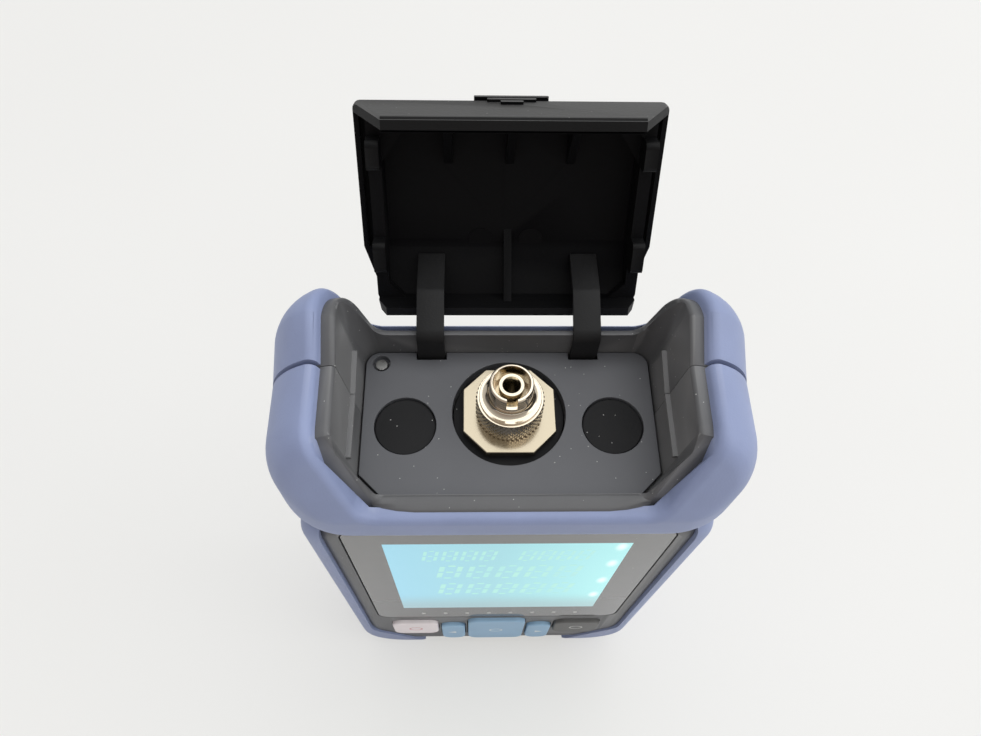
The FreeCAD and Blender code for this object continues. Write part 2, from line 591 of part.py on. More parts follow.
door = new_body("battery_door")
add(door, "XZ", DOOR_SEAT, BACK, [box_corners(
    "door_gap - " + DOOR_HALF, DOOR_HALF + " - door_gap",
    DOOR_LOW + " + door_gap", DOOR_HIGH + " - door_gap",
    "door_corner - door_gap")], [("0", DOOR_SCREW, "case_screw + hole_room")])
cut(door, "XZ", BACK + " - door_thick / 2", BACK, (), [("0", DOOR_SCREW, "case_head + hole_room")])
keep("battery_door", door)


def screw(name, shank, length, head, thick, across, seat, up):
    """A round-headed screw driven in from the back."""
    return combine("Fuse", name, cylinder(name + "_shank", shank, length, across, "%s - %s" % (seat, length),
                                          up, "y"),
                   cylinder(name + "_head", head, thick, across, seat, up, "y"))


group("case_screws", [screw("case_screw_piece", "case_screw", "case_length", "case_head", "case_head_thick",
                            across, HEAD_SEAT, up) for across, up in BOSSES])
keep("door_screw", screw("door_screw", "case_screw", "door_screw_length", "case_head", "door_thick / 2",
                         "0", BACK + " - door_thick / 2", DOOR_SCREW))

# Cells, with the nipple upwards, and their contacts
CELL_LOW = "(%s + spring_room)" % TRAY_LOW
for number, shift in (("left", "-cell_pitch"), ("middle", "0"), ("right", "cell_pitch")):
    can = cylinder("can_" + number, "cell_radius", "cell_length - nipple_height", shift, CELL_BACK, CELL_LOW)
    tip = cylinder("tip_" + number, "cell_nipple", "nipple_height", shift, CELL_BACK,
                   CELL_LOW + " + cell_length - nipple_height")
    keep("cell_" + number, combine("Fuse", "cell_" + number, can, tip))
leaves, plates = [], []
for shift in ("-cell_pitch", "0", "cell_pitch"):
    leaf = new_body("leaf")
    left, right = "%s - leaf_width / 2" % shift, "%s + leaf_width / 2" % shift
    near, far = CELL_BACK + " - leaf_width / 2", CELL_BACK + " + leaf_width / 2"
    rise = "spring_room - stack_gap"
    add(leaf, "YZ", left, right, [[
        (near, TRAY_LOW), (far, TRAY_LOW), (far, TRAY_LOW + " + leaf_thick"),
        (near + " + 3 * leaf_thick", TRAY_LOW + " + leaf_thick"),
        (far, TRAY_LOW + " + %s - leaf_thick" % rise), (far, TRAY_LOW + " + " + rise)]])
    leaves.append(leaf)
    plates.append(block("plate", left, right, near, far, TRAY_HIGH + " - leaf_thick", TRAY_HIGH))
group("battery_springs", leaves)
group("battery_contacts", plates)

# Connector panel, with its holes, and the plugs of the two blanked ports
STRAP_BACK = "(bay_rear - strap_gap - strap_thick / 2)"
SCREW_SEAT = "(panel_level - screw_sink)"
panel = new_body("connector_panel")
add(panel, "XY", DECK_TOP, "panel_level", [bay_corners(DECK_TOP, "-panel_gap")],
    [("-port_spread / 2", "0", "port_radius"), ("port_spread / 2", "0", "port_radius"),
     ("0", "hub_offset", "hub_hole"), ("-screw_across", "screw_back", "screw_shank + screw_room")])
cut(panel, "XY", SCREW_SEAT, "panel_level", (), [("-screw_across", "screw_back", "screw_head + screw_room")])
for hand, sign in SIDES:
    cut(panel, "XY", DECK_TOP, "panel_level", [box_corners(
        sign + "strap_spread / 2 - strap_width / 2 - strap_gap",
        sign + "strap_spread / 2 + strap_width / 2 + strap_gap",
        "bay_rear - 2 * strap_gap - strap_thick", "2 * rear_depth")])
keep("connector_panel", panel)
for hand, sign in SIDES:
    plug = new_body("port_plug_" + hand)
    add(plug, "XY", DECK_TOP, "panel_level - plug_sink", (),
        [(sign + "port_spread / 2", "0", "port_radius - plug_gap")])
    round_edges(plug, "plug_edge", lies_at("z", "panel_level - plug_sink"))
    keep("port_plug_" + hand, plug)
keep("panel_screw", combine("Fuse", "panel_screw", cylinder(
    "panel_screw_shank", "screw_shank", "screw_length", "-screw_across", "screw_back",
    SCREW_SEAT + " - screw_length"), cylinder(
        "panel_screw_head", "screw_head", "screw_head_thick", "-screw_across", "screw_back", SCREW_SEAT)))

# Detector: rubber seat in the deck, metal hub with its plate, photodiode and small board
PLATE_TOP = "(panel_level + flange_rise)"
PLATE_BASE = "(panel_level + flange_rise - flange_thick)"
HUB_BASE = "(%s - hub_depth)" % PLATE_BASE
SEAT_TOP = "(panel_level - seat_sink)"
seat = new_body("detector_seat")
revolve(seat, [("hub_radius + seat_gap", SEAT_TOP + " - seat_depth"),
               ("hub_hole + seat_flange", SEAT_TOP + " - seat_depth"),
               ("hub_hole + seat_flange", DECK_BASE + " - stack_gap"),
               ("hub_hole - seat_gap", DECK_BASE + " - stack_gap"), ("hub_hole - seat_gap", SEAT_TOP),
               ("seat_ring", SEAT_TOP), ("seat_ring", PLATE_BASE + " - stack_gap"),
               ("hub_radius + seat_gap", PLATE_BASE + " - stack_gap")], "hub_offset")
keep("detector_seat", seat)

flange = new_body("detector_flange")
half, notch = "flange_size / 2", "(flange_size / 2 - flange_chamfer)"
near, far = "(hub_offset - flange_size / 2)", "(hub_offset + flange_size / 2)"
add(flange, "XY", PLATE_BASE, PLATE_TOP, [[
    ("-" + notch, near), (notch, near), (half, near + " + flange_chamfer"),
    (half, far + " - flange_chamfer"), (notch, far), ("-" + notch, far),
    ("-" + half, far + " - flange_chamfer"), ("-" + half, near + " + flange_chamfer")]])
round_edges(flange, "plate_edge", lies_at("z", PLATE_TOP))
add(flange, "XY", PLATE_TOP, PLATE_TOP + " + stub_height", (), [("0", "hub_offset", "stub_radius")])
add(flange, "XY", HUB_BASE, PLATE_BASE, (), [("0", "hub_offset", "hub_radius")])
cut(flange, "XY", HUB_BASE, HUB_BASE + " + diode_height + 2 * diode_gap", (),
    [("0", "hub_offset", "diode_radius + diode_gap")])
cut(flange, "XY", HUB_BASE, PLATE_TOP + " + stub_height", (), [("0", "hub_offset", "window_radius")])
keep("detector_flange", flange)
BOARD_TOP = "(%s - stack_gap)" % HUB_BASE
diode = cylinder("diode_can", "diode_radius", "diode_height", "0", "hub_offset", HUB_BASE + " + diode_gap")
leads = [cylinder("diode_lead", "lead_radius", "lead_length", sign + "lead_spread / 2", "hub_offset",
                  HUB_BASE + " + 2 * diode_gap - lead_length") for hand, sign in SIDES]
keep("photodiode", combine("Fuse", "photodiode", diode, leads))
small_board = new_body("detector_board")
add(small_board, "XY", BOARD_TOP + " - board_thick", BOARD_TOP, (), [
    ("0", "hub_offset", "sensor_board"), ("-lead_spread / 2", "hub_offset", "lead_radius + hole_room"),
    ("lead_spread / 2", "hub_offset", "lead_radius + hole_room")])
keep("detector_board", small_board)

# Screw-on fibre adapter with its knurled ring, and the alignment sleeve it carries
ADAPTER_BASE = "(%s + thread_gap)" % PLATE_TOP
ADAPTER_TOP = "(panel_level + flange_rise + adapter_height)"
RING_TOP = "(%s + knurl_height)" % PLATE_TOP
WAIST = "(%s + shoulder_height)" % RING_TOP
WEB_BASE = "(%s + stub_height + web_clear)" % PLATE_TOP
WEB_TOP = "(%s + web)" % WEB_BASE
adapter = new_body("fibre_adapter")
revolve(adapter, [
    ("stub_radius + thread_gap", ADAPTER_BASE), ("knurl_radius - ring_edge", ADAPTER_BASE),
    ("knurl_radius", ADAPTER_BASE + " + ring_edge"), ("knurl_radius", RING_TOP + " - ring_edge"),
    ("knurl_radius - ring_edge", RING_TOP), ("shoulder_radius", RING_TOP), ("shoulder_radius", WAIST),
    ("barrel_radius", WAIST, "flare"), ("barrel_radius", ADAPTER_TOP + " - rim_chamfer"),
    ("barrel_radius - rim_chamfer", ADAPTER_TOP), ("barrel_bore", ADAPTER_TOP), ("barrel_bore", WEB_TOP),
    ("sleeve_radius + sleeve_gap", WEB_TOP), ("sleeve_radius + sleeve_gap", WEB_BASE),
    ("stub_radius + thread_gap", WEB_BASE)], "hub_offset")
cut(adapter, "XY", ADAPTER_TOP + " - key_depth", ADAPTER_TOP, [box_corners(
    "-key_width / 2", "key_width / 2", "hub_offset - 2 * barrel_radius", "hub_offset - sleeve_radius")])
keep("fibre_adapter", adapter)
SLEEVE_TOP = "(%s - sleeve_drop)" % ADAPTER_TOP
COLLAR_BASE = "(%s + sleeve_gap)" % WEB_TOP
sleeve = new_body("alignment_sleeve")
revolve(sleeve, [
    ("ferrule_radius", WEB_BASE), ("sleeve_radius", WEB_BASE), ("sleeve_radius", COLLAR_BASE),
    ("collar_radius", COLLAR_BASE), ("collar_radius", COLLAR_BASE + " + collar_height"),
    ("sleeve_radius", COLLAR_BASE + " + collar_height"), ("sleeve_radius", SLEEVE_TOP),
    ("mouth_radius", SLEEVE_TOP), ("ferrule_radius", SLEEVE_TOP + " - mouth_depth")], "hub_offset")
keep("alignment_sleeve", sleeve)

# Rubber dust cap, drawn shut over the bay
CAP_HALF = "(cap_width / 2)"
CAP_TOP = "(panel_level + cap_height)"
FLAP_OUT = "(cap_width / 2 - flap_inset)"
FLAP_IN = "(cap_width / 2 - flap_inset - flap_thick)"
SKIRT = "(panel_level + flap_skirt)"
FRONT_EDGE = "(panel_level + lip_rise + cap_rest)"
REAR_EDGE = "(panel_level + rear_rim + cap_rest)"
SLOPE_END = "(%s - cap_slope_drop)" % CAP_TOP
front_in, rear_in = "(cap_wall - cap_front)", "(cap_rear - cap_wall)"
ROOF_IN = "(%s - cap_wall)" % CAP_TOP
cap = new_body("dust_cap")
add(cap, "YZ", "-" + CAP_HALF, CAP_HALF, [[
    ("-cap_front", FRONT_EDGE), ("-cap_front", CAP_TOP, "cap_round"),
    ("cap_slope_start", CAP_TOP, "cap_bend"), ("cap_rear", SLOPE_END, "cap_round"), ("cap_rear", REAR_EDGE),
    (rear_in, REAR_EDGE), (rear_in, SKIRT), (front_in, SKIRT), (front_in, FRONT_EDGE)]])
cut(cap, "YZ", "-" + FLAP_IN, FLAP_IN, [[
    (front_in, "panel_level"), (front_in, ROOF_IN, "cap_round - cap_wall"),
    ("cap_slope_start", ROOF_IN, "cap_bend - cap_wall"), (rear_in, SLOPE_END + " - cap_wall / 2"),
    (rear_in, "panel_level")]])
for start, end in (("-cap_width", "-" + FLAP_OUT), (FLAP_OUT, "cap_width")):
    cut(cap, "YZ", start, end, [box_corners(
        front_in, "2 * cap_rear", "panel_level", CAP_TOP + " - cap_step")])
RIM_IN = "(cap_width / 2 - cap_rim)"
for start, end in (("-" + RIM_IN, "-" + FLAP_OUT), (FLAP_OUT, RIM_IN)):
    cut(cap, "YZ", start, end, [box_corners(front_in, "cap_slope_start", "panel_level", ROOF_IN)])
for sign in ("-", ""):
    for low, edge, front, back in ((FRONT_EDGE, "cap_front_edge / 2", "-2 * cap_front", front_in),
                                   (REAR_EDGE, "cap_rear_edge / 2", rear_in, "2 * cap_rear")):
        cut(cap, "XZ", front, back, [[
            (sign + edge, "panel_level"), (sign + edge, low), (sign + CAP_HALF, CAP_TOP + " - cap_step"),
            (sign + "cap_width", CAP_TOP + " - cap_step"), (sign + "cap_width", "panel_level")]])
    cut(cap, "XY", "panel_level", CAP_TOP, [[
        (sign + CAP_HALF, "cap_slope_start"), (sign + "cap_rear_width / 2", "cap_rear"),
        (sign + "cap_rear_width / 2", "2 * cap_rear"), (sign + "cap_width", "2 * cap_rear"),
        (sign + "cap_width", "cap_slope_start")]])
    for edge, tip, level in ((front_in, front_in + " + cap_chamfer", ROOF_IN + " + cap_wall / 2"),
                             (rear_in, rear_in + " - cap_chamfer", SLOPE_END + " - cap_wall / 2")):
        add(cap, "XY", SKIRT, level, [[(sign + FLAP_IN, edge), (sign + FLAP_IN, tip),
                                       ("%s(%s - cap_chamfer)" % (sign, FLAP_IN), edge)]])
add(cap, "YZ", "-cap_front_edge / 2", "cap_front_edge / 2", (), [
    ("cap_wall / 2 - cap_front", FRONT_EDGE + " + bead_radius", "bead_radius")])
for start, end in (("-" + FLAP_OUT, "-" + FLAP_IN), (FLAP_IN, FLAP_OUT)):
    for near, length in (("lobe_front", "lobe_long"), ("lobe_back", "lobe_short")):
        add(cap, "YZ", start, end, [[
            (near, SKIRT + " + lobe_drop"), (near, SKIRT + " - lobe_drop", "lobe_round"),
            ("%s + %s" % (near, length), SKIRT + " - lobe_drop", "lobe_round"),
            ("%s + %s" % (near, length), SKIRT + " + lobe_drop")]])
for middle in ("-rib_spread", "0", "rib_spread"):
    add(cap, "YZ", middle + " - rib_thick / 2", middle + " + rib_thick / 2", [[
        (front_in + " - cap_wall / 2", FRONT_EDGE + " + rib_reach"), (front_in, FRONT_EDGE + " + rib_reach"),
        (front_in + " + rib_run", ROOF_IN), (front_in + " + rib_run", ROOF_IN + " + cap_wall / 2"),
        (front_in + " - cap_wall / 2", ROOF_IN)]])
add(cap, "YZ", "-rib_thick / 2", "rib_thick / 2", [[
    (rear_in + " + cap_wall / 2", REAR_EDGE + " + rib_reach"), (rear_in, REAR_EDGE + " + rib_reach"),
    (rear_in + " - gusset_reach", ROOF_IN), ("cap_slope_start", ROOF_IN + " + cap_wall / 3"),
    (rear_in + " + cap_wall / 2", SLOPE_END)]])
for bar, (half, drop) in enumerate((("grip_long", "0"), ("(grip_long - grip_step)", "grip_pitch"),
                                    ("(grip_long - 2 * grip_step)", "2 * grip_pitch"))):
    high = "%s - grip_drop - %s" % (CAP_TOP, drop)
    add(cap, "XZ", "-cap_front - grip_lift", front_in + " - cap_wall / 2", [box_corners(
        "-" + half, half, high + " - grip_bar", high, "grip_bar / 3")])
HINGE = "(panel_level + hinge_rise)"
cap.Placement.Rotation = FreeCAD.Rotation(Vector(-1, 0, 0), SIZES["open_angle"])
bind(cap, "Placement.Rotation.Angle", "open_angle")
bind(cap, "Placement.Base.y", "hinge_back * (1 - cos(open_angle)) - %s * sin(open_angle)" % HINGE)
bind(cap, "Placement.Base.z", "%s * (1 - cos(open_angle)) + hinge_back * sin(open_angle)" % HINGE)
doc.recompute()
keep("dust_cap", cap)

# Straps from the slots in the deck, over the rear rim and into the cap
CREST = "(panel_level + strap_crest)"
FOLD_BACK, FOLD_UP = "(%s + strap_reach)" % STRAP_BACK, "(%s + strap_climb)" % CREST
for hand, sign in SIDES:
    strap = new_body("cap_strap_" + hand)
    middle = sign + "strap_spread / 2"
    path = new_sketch(strap, "YZ", middle)
    draw_path(path, [(STRAP_BACK, "panel_level - strap_root"), (STRAP_BACK, CREST, "strap_bend"),
                     (FOLD_BACK, FOLD_UP, "strap_fold"),
                     (FOLD_BACK + " + strap_end_reach", FOLD_UP + " - strap_end_drop")], False)
    section = new_sketch(strap, "XY", "panel_level - strap_root")
    draw_path(section, box_corners(middle + " - strap_width / 2", middle + " + strap_width / 2",
                                   STRAP_BACK + " - strap_thick / 2",
                                   STRAP_BACK + " + strap_thick / 2"), True)
    swept = strap.newObject("PartDesign::AdditivePipe", strap.Name + "_sweep")
    swept.Profile = section
    swept.Spine = (path, [])
    doc.recompute()
    keep("cap_strap_" + hand, strap)

# Display: lens in its recess, glass, backlight and holder behind the window
lens = new_body("display_lens")
add(lens, "XZ", FACE, FACE + " + lens_thick - stack_gap", [box_corners(
    "lens_gap - lens_width / 2", "lens_width / 2 - lens_gap", LENS_BASE + " + lens_gap",
    LENS_BASE + " + lens_height - lens_gap", "lens_corner - lens_gap")])
keep("display_lens", lens)
GLASS_HALF = "(window_width / 2 + glass_margin)"
GLASS_LOW, GLASS_HIGH = WINDOW_BASE + " - glass_margin", WINDOW_BASE + " + window_height + glass_margin"
GLASS_FRONT = "(%s + stack_gap)" % INNER_FACE
GLASS_BACK = "(%s + glass_thick)" % GLASS_FRONT
keep("lcd_glass", block("lcd_glass", "-" + GLASS_HALF, GLASS_HALF, GLASS_FRONT, GLASS_BACK, GLASS_LOW,
                        GLASS_HIGH))
keep("backlight", block("backlight", "-" + GLASS_HALF, GLASS_HALF, GLASS_BACK + " + stack_gap",
                        GLASS_BACK + " + stack_gap + light_thick", GLASS_LOW, GLASS_HIGH))
holder = new_body("lcd_holder")
add(holder, "XZ", GLASS_FRONT, BOARD_FRONT + " - stack_gap", [
    box_corners("-%s - fit_gap - holder_rim" % GLASS_HALF, GLASS_HALF + " + fit_gap + holder_rim",
                GLASS_LOW + " - fit_gap - holder_rim", GLASS_HIGH + " + fit_gap + holder_rim"),
    box_corners("-%s - fit_gap" % GLASS_HALF, GLASS_HALF + " + fit_gap", GLASS_LOW + " - fit_gap",
                GLASS_HIGH + " + fit_gap")])
keep("lcd_holder", holder)

# Main board on its posts, with the dome switches, the buzzer and the screws
BOARD_BACK = "(%s + board_thick)" % BOARD_FRONT
board = new_body("main_board")
add(board, "XZ", BOARD_FRONT, BOARD_BACK, [box_corners(
    "-board_width / 2", "board_width / 2", "board_base", "panel_level - board_drop")],
    [(across, up, "pin_radius + hole_room") for across, up in POSTS])
keep("main_board", board)
group("board_screws", [screw("board_screw_piece", "pin_radius", "pin_length", "pin_head", "pin_head_thick",
                             across, BOARD_BACK, up) for across, up in POSTS])
DOME_TOP = "(%s - dome_height)" % BOARD_FRONT
group("key_domes", [cylinder("key_dome", "dome_radius", "dome_height", across, DOME_TOP, up, "y")
                    for node, across, up, width, height in KEYS])
keep("buzzer", cylinder("buzzer", "buzzer_radius", "buzzer_height", "buzzer_across", BOARD_BACK,
                        "panel_level - buzzer_drop", "y"))
MAT_FRONT = "(%s + stack_gap + key_flange_thick + key_travel + mat_gap)" % INNER_FACE
mat = new_body("key_mat")
wide = "(power_across + side_key_width / 2 + key_flange + mat_margin)"
slim = "(arrow_across + arrow_width / 2 + key_flange + mat_margin)"
step = "side_key_up - side_key_height / 2 - key_flange - mat_margin"
low = "enter_up - enter_height / 2 - key_flange - mat_margin"
high = "enter_up + enter_height / 2 + key_flange + mat_margin"
add(mat, "XZ", MAT_FRONT, MAT_FRONT + " + mat_thick", [[
    ("-" + wide, high), ("-" + wide, step), ("-" + slim, step), ("-" + slim, low),
    (slim, low), (slim, step), (wide, step), (wide, high)]])
for node, across, up, width, height in KEYS:
    add(mat, "XZ", MAT_FRONT + " + mat_thick", DOME_TOP + " - dome_gap", (),
        [(across, up, "plunger_radius")])
keep("key_mat", mat)

doc.recompute()
for thing in doc.Objects:
    if "Invalid" in thing.State or "Error" in thing.State:
        raise RuntimeError("%s is not sound: %s" % (thing.Label, thing.State))
for node, piece in NODES.items():
    if piece.Shape.isNull() or not piece.Shape.isValid():
        raise RuntimeError("%s has no sound shape" % node)
os.makedirs("parts", exist_ok=True)
for node, piece in NODES.items():
    piece.Shape.exportStep("parts/%s.step" % node)
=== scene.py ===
import math
import bmesh
import bpy
from mathutils import Matrix, Vector


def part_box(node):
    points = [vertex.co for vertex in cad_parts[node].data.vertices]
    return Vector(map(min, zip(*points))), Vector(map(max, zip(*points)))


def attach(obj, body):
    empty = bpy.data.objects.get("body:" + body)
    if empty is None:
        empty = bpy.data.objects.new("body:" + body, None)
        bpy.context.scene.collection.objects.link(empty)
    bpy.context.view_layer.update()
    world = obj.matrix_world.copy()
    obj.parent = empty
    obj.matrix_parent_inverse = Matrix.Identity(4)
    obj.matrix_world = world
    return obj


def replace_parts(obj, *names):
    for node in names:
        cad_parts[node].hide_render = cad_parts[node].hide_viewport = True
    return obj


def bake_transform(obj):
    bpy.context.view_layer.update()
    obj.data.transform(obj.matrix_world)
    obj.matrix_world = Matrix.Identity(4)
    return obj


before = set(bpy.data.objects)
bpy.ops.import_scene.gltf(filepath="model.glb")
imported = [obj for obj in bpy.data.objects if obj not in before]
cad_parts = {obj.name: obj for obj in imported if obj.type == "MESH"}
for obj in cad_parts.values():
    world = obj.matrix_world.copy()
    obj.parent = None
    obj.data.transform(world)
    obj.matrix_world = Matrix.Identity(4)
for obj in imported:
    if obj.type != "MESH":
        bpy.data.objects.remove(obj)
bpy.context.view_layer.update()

# The stand-in for the photographer: a phone camera held above the front edge, tipped
# steeply down at the open cap and the connector bay.
MM = 0.001
camera_place = Vector((-7.369, -60.477, 253.826)) * MM
tip_down, turn, roll = math.radians(61.281), math.radians(-3.161), math.radians(-2.722)
photo_width, focal_pixels = 981, 780
swing = Matrix.Rotation(turn, 3, "Z")
ahead = swing @ Vector((0, math.cos(tip_down), -math.sin(tip_down)))
down = swing @ Vector((0, -math.sin(tip_down), -math.cos(tip_down)))
right = swing @ Vector((1, 0, 0))
right_rolled = right * math.cos(roll) + down * math.sin(roll)
down_rolled = down * math.cos(roll) - right * math.sin(roll)
lens = bpy.data.cameras.new("photo_camera")
lens.sensor_width = 36
lens.lens = lens.sensor_width * focal_pixels / photo_width
lens.clip_start = 0.005
camera = bpy.data.objects.new("photo_camera", lens)
camera.matrix_world = Matrix.Translation(camera_place) @ Matrix(
    (right_rolled, -down_rolled, -ahead)).transposed().to_4x4()
bpy.context.collection.objects.link(camera)
bpy.context.scene.camera = camera
bpy.context.scene.view_settings.view_transform = "Standard"

# The white table, one wide matt sheet with a faint cloudiness. What the camera sees of it
# is partly self-lit, so it stays near white under the soft room light.
floor_mesh = bpy.data.meshes.new("white_table")
bm = bmesh.new()
bmesh.ops.create_grid(bm, x_segments=1, y_segments=1, size=3.0)
bm.to_mesh(floor_mesh)
bm.free()
floor = bpy.data.objects.new("white_table", floor_mesh)
bpy.context.collection.objects.link(floor)
table_white = bpy.data.materials.new("table_white")
table_white.use_nodes = True
table_nodes, table_links = table_white.node_tree.nodes, table_white.node_tree.links
table_shader = table_nodes["Principled BSDF"]
table_shader.inputs["Roughness"].default_value = 0.7
table_shader.inputs["Specular IOR Level"].default_value = 0.1
table_place = table_nodes.new("ShaderNodeTexCoord")
table_cloud = table_nodes.new("ShaderNodeTexNoise")
table_cloud.inputs["Scale"].default_value = 6.0
table_tone = table_nodes.new("ShaderNodeValToRGB")
table_tone.color_ramp.elements[0].color = (0.86, 0.855, 0.84, 1)
table_tone.color_ramp.elements[1].color = (0.92, 0.92, 0.91, 1)
table_links.new(table_place.outputs["Object"], table_cloud.inputs["Vector"])
table_links.new(table_cloud.outputs["Fac"], table_tone.inputs["Fac"])
table_links.new(table_tone.outputs["Color"], table_shader.inputs["Base Color"])
table_path = table_nodes.new("ShaderNodeLightPath")
table_share = table_nodes.new("ShaderNodeMath")
table_share.operation = "MULTIPLY"
table_share.inputs[1].default_value = 0.55
table_glow = table_nodes.new("ShaderNodeEmission")
table_glow.inputs["Color"].default_value = (0.86, 0.855, 0.83, 1)
table_mix = table_nodes.new("ShaderNodeMixShader")
table_links.new(table_path.outputs["Is Camera Ray"], table_share.inputs[0])
table_links.new(table_share.outputs["Value"], table_mix.inputs["Fac"])
table_links.new(table_shader.outputs["BSDF"], table_mix.inputs[1])
table_links.new(table_glow.outputs["Emission"], table_mix.inputs[2])
table_links.new(table_mix.outputs["Shader"], table_nodes["Material Output"].inputs["Surface"])
floor.data.materials.append(table_white)

# The room: bright above and behind, dim and warm in front where the photographer stands,
# with a wide soft lamp over the back right and a smaller one to the right.
room = bpy.data.worlds.new("white_room")
room.use_nodes = True
room_nodes, room_links = room.node_tree.nodes, room.node_tree.links
room_place = room_nodes.new("ShaderNodeTexCoord")
room_slant = room_nodes.new("ShaderNodeVectorMath")
room_slant.operation = "DOT_PRODUCT"
room_slant.inputs[1].default_value = (0.35, 0.62, 0.70)
room_share = room_nodes.new("ShaderNodeMapRange")
room_share.inputs["From Min"].default_value = -1.0
room_tone = room_nodes.new("ShaderNodeValToRGB")
room_tone.color_ramp.elements[0].color = (0.30, 0.21, 0.185, 1)
room_tone.color_ramp.elements[1].color = (0.86, 0.88, 0.90, 1)
room_middle = room_tone.color_ramp.elements.new(0.52)
room_middle.color = (0.52, 0.51, 0.50, 1)
room_path = room_nodes.new("ShaderNodeLightPath")
room_seen = room_nodes.new("ShaderNodeMix")
room_seen.data_type = "RGBA"
room_seen.inputs["B"].default_value = (0.88, 0.88, 0.87, 1)
room_links.new(room_place.outputs["Generated"], room_slant.inputs[0])
room_links.new(room_slant.outputs["Value"], room_share.inputs["Value"])
room_links.new(room_share.outputs["Result"], room_tone.inputs["Fac"])
room_links.new(room_path.outputs["Is Camera Ray"], room_seen.inputs["Factor"])
room_links.new(room_tone.outputs["Color"], room_seen.inputs["A"])
room_links.new(room_seen.outputs["Result"], room_nodes["Background"].inputs["Color"])
bpy.context.scene.world = room
for name, place, size, watts in (("ceiling_panel", (0.30, 0.25, 1.3), 1.4, 7.0),
                                 ("right_panel", (1.0, -0.1, 0.7), 0.7, 2.4)):
    panel_light = bpy.data.lights.new(name, "AREA")
    panel_light.size = size
    panel_light.energy = watts
    lamp = bpy.data.objects.new(name, panel_light)
    lamp.location = place
    lamp.rotation_euler = (Vector((0, 0, 0.1)) - Vector(place)).to_track_quat("-Z", "Y").to_euler()
    bpy.context.collection.objects.link(lamp)


# The blue armour: two soft-rubber halves moulded over the hard case, meeting in a groove
# down both sides. The rubber has a fine matt grain and is paler where hands rub it.
def moulded(name, colour, roughness, grain, depth, mottle=0.1, shine=0.5, rub=0.0,
            rub_colour=(0.5, 0.5, 0.5), specks=0.0, speck_colour=(0.5, 0.5, 0.48)):
    """A moulded finish: fine grain, cloudy tone and, if asked, rubbed edges and dust."""
    made = bpy.data.materials.new(name)
    made.use_nodes = True
    nodes, links = made.node_tree.nodes, made.node_tree.links
    shader = nodes["Principled BSDF"]
    shader.inputs["Specular IOR Level"].default_value = shine
    place = nodes.new("ShaderNodeTexCoord")
    cloud = nodes.new("ShaderNodeTexNoise")
    cloud.inputs["Scale"].default_value = 90
    cloud.inputs["Detail"].default_value = 5
    tone = nodes.new("ShaderNodeValToRGB")
    tone.color_ramp.elements[0].position = 0.3
    tone.color_ramp.elements[1].position = 0.7
    tone.color_ramp.elements[0].color = (*(part * (1 - mottle) for part in colour), 1)
    tone.color_ramp.elements[1].color = (*(min(1, part * (1 + mottle)) for part in colour), 1)
    links.new(place.outputs["Object"], cloud.inputs["Vector"])
    links.new(cloud.outputs["Fac"], tone.inputs["Fac"])
    skin = tone.outputs["Color"]
    if rub:
        shape = nodes.new("ShaderNodeNewGeometry")
        edge = nodes.new("ShaderNodeMapRange")
        edge.inputs["From Min"].default_value = 0.52
        edge.inputs["From Max"].default_value = 0.62
        edge.inputs["To Max"].default_value = rub
        worn = nodes.new("ShaderNodeMix")
        worn.data_type = "RGBA"
        worn.inputs["B"].default_value = (*rub_colour, 1)
        links.new(shape.outputs["Pointiness"], edge.inputs["Value"])
        links.new(edge.outputs["Result"], worn.inputs["Factor"])
        links.new(skin, worn.inputs["A"])
        skin = worn.outputs["Result"]
    if specks:
        grit = nodes.new("ShaderNodeTexVoronoi")
        grit.inputs["Scale"].default_value = 900
        near = nodes.new("ShaderNodeMath")
        near.operation = "LESS_THAN"
        near.inputs[1].default_value = 0.09
        chance = nodes.new("ShaderNodeSeparateColor")
        few = nodes.new("ShaderNodeMath")
        few.operation = "LESS_THAN"
        few.inputs[1].default_value = specks
        both = nodes.new("ShaderNodeMath")
        both.operation = "MULTIPLY"
        dusty = nodes.new("ShaderNodeMix")
        dusty.data_type = "RGBA"
        dusty.inputs["B"].default_value = (*speck_colour, 1)
        links.new(place.outputs["Object"], grit.inputs["Vector"])
        links.new(grit.outputs["Distance"], near.inputs[0])
        links.new(grit.outputs["Color"], chance.inputs["Color"])
        links.new(chance.outputs["Red"], few.inputs[0])
        links.new(near.outputs["Value"], both.inputs[0])
        links.new(few.outputs["Value"], both.inputs[1])
        links.new(both.outputs["Value"], dusty.inputs["Factor"])
        links.new(skin, dusty.inputs["A"])
        skin = dusty.outputs["Result"]
    links.new(skin, shader.inputs["Base Color"])
    dull = nodes.new("ShaderNodeMapRange")
    dull.inputs["To Min"].default_value = roughness * 0.85
    dull.inputs["To Max"].default_value = roughness * 1.15
    links.new(cloud.outputs["Fac"], dull.inputs["Value"])
    links.new(dull.outputs["Result"], shader.inputs["Roughness"])
    pits = nodes.new("ShaderNodeTexNoise")
    pits.inputs["Scale"].default_value = grain
    pits.inputs["Detail"].default_value = 3
    relief = nodes.new("ShaderNodeBump")
    relief.inputs["Strength"].default_value = 0.6
    relief.inputs["Distance"].default_value = depth
    links.new(place.outputs["Object"], pits.inputs["Vector"])
    links.new(pits.outputs["Fac"], relief.inputs["Height"])
    links.new(relief.outputs["Normal"], shader.inputs["Normal"])
    return made


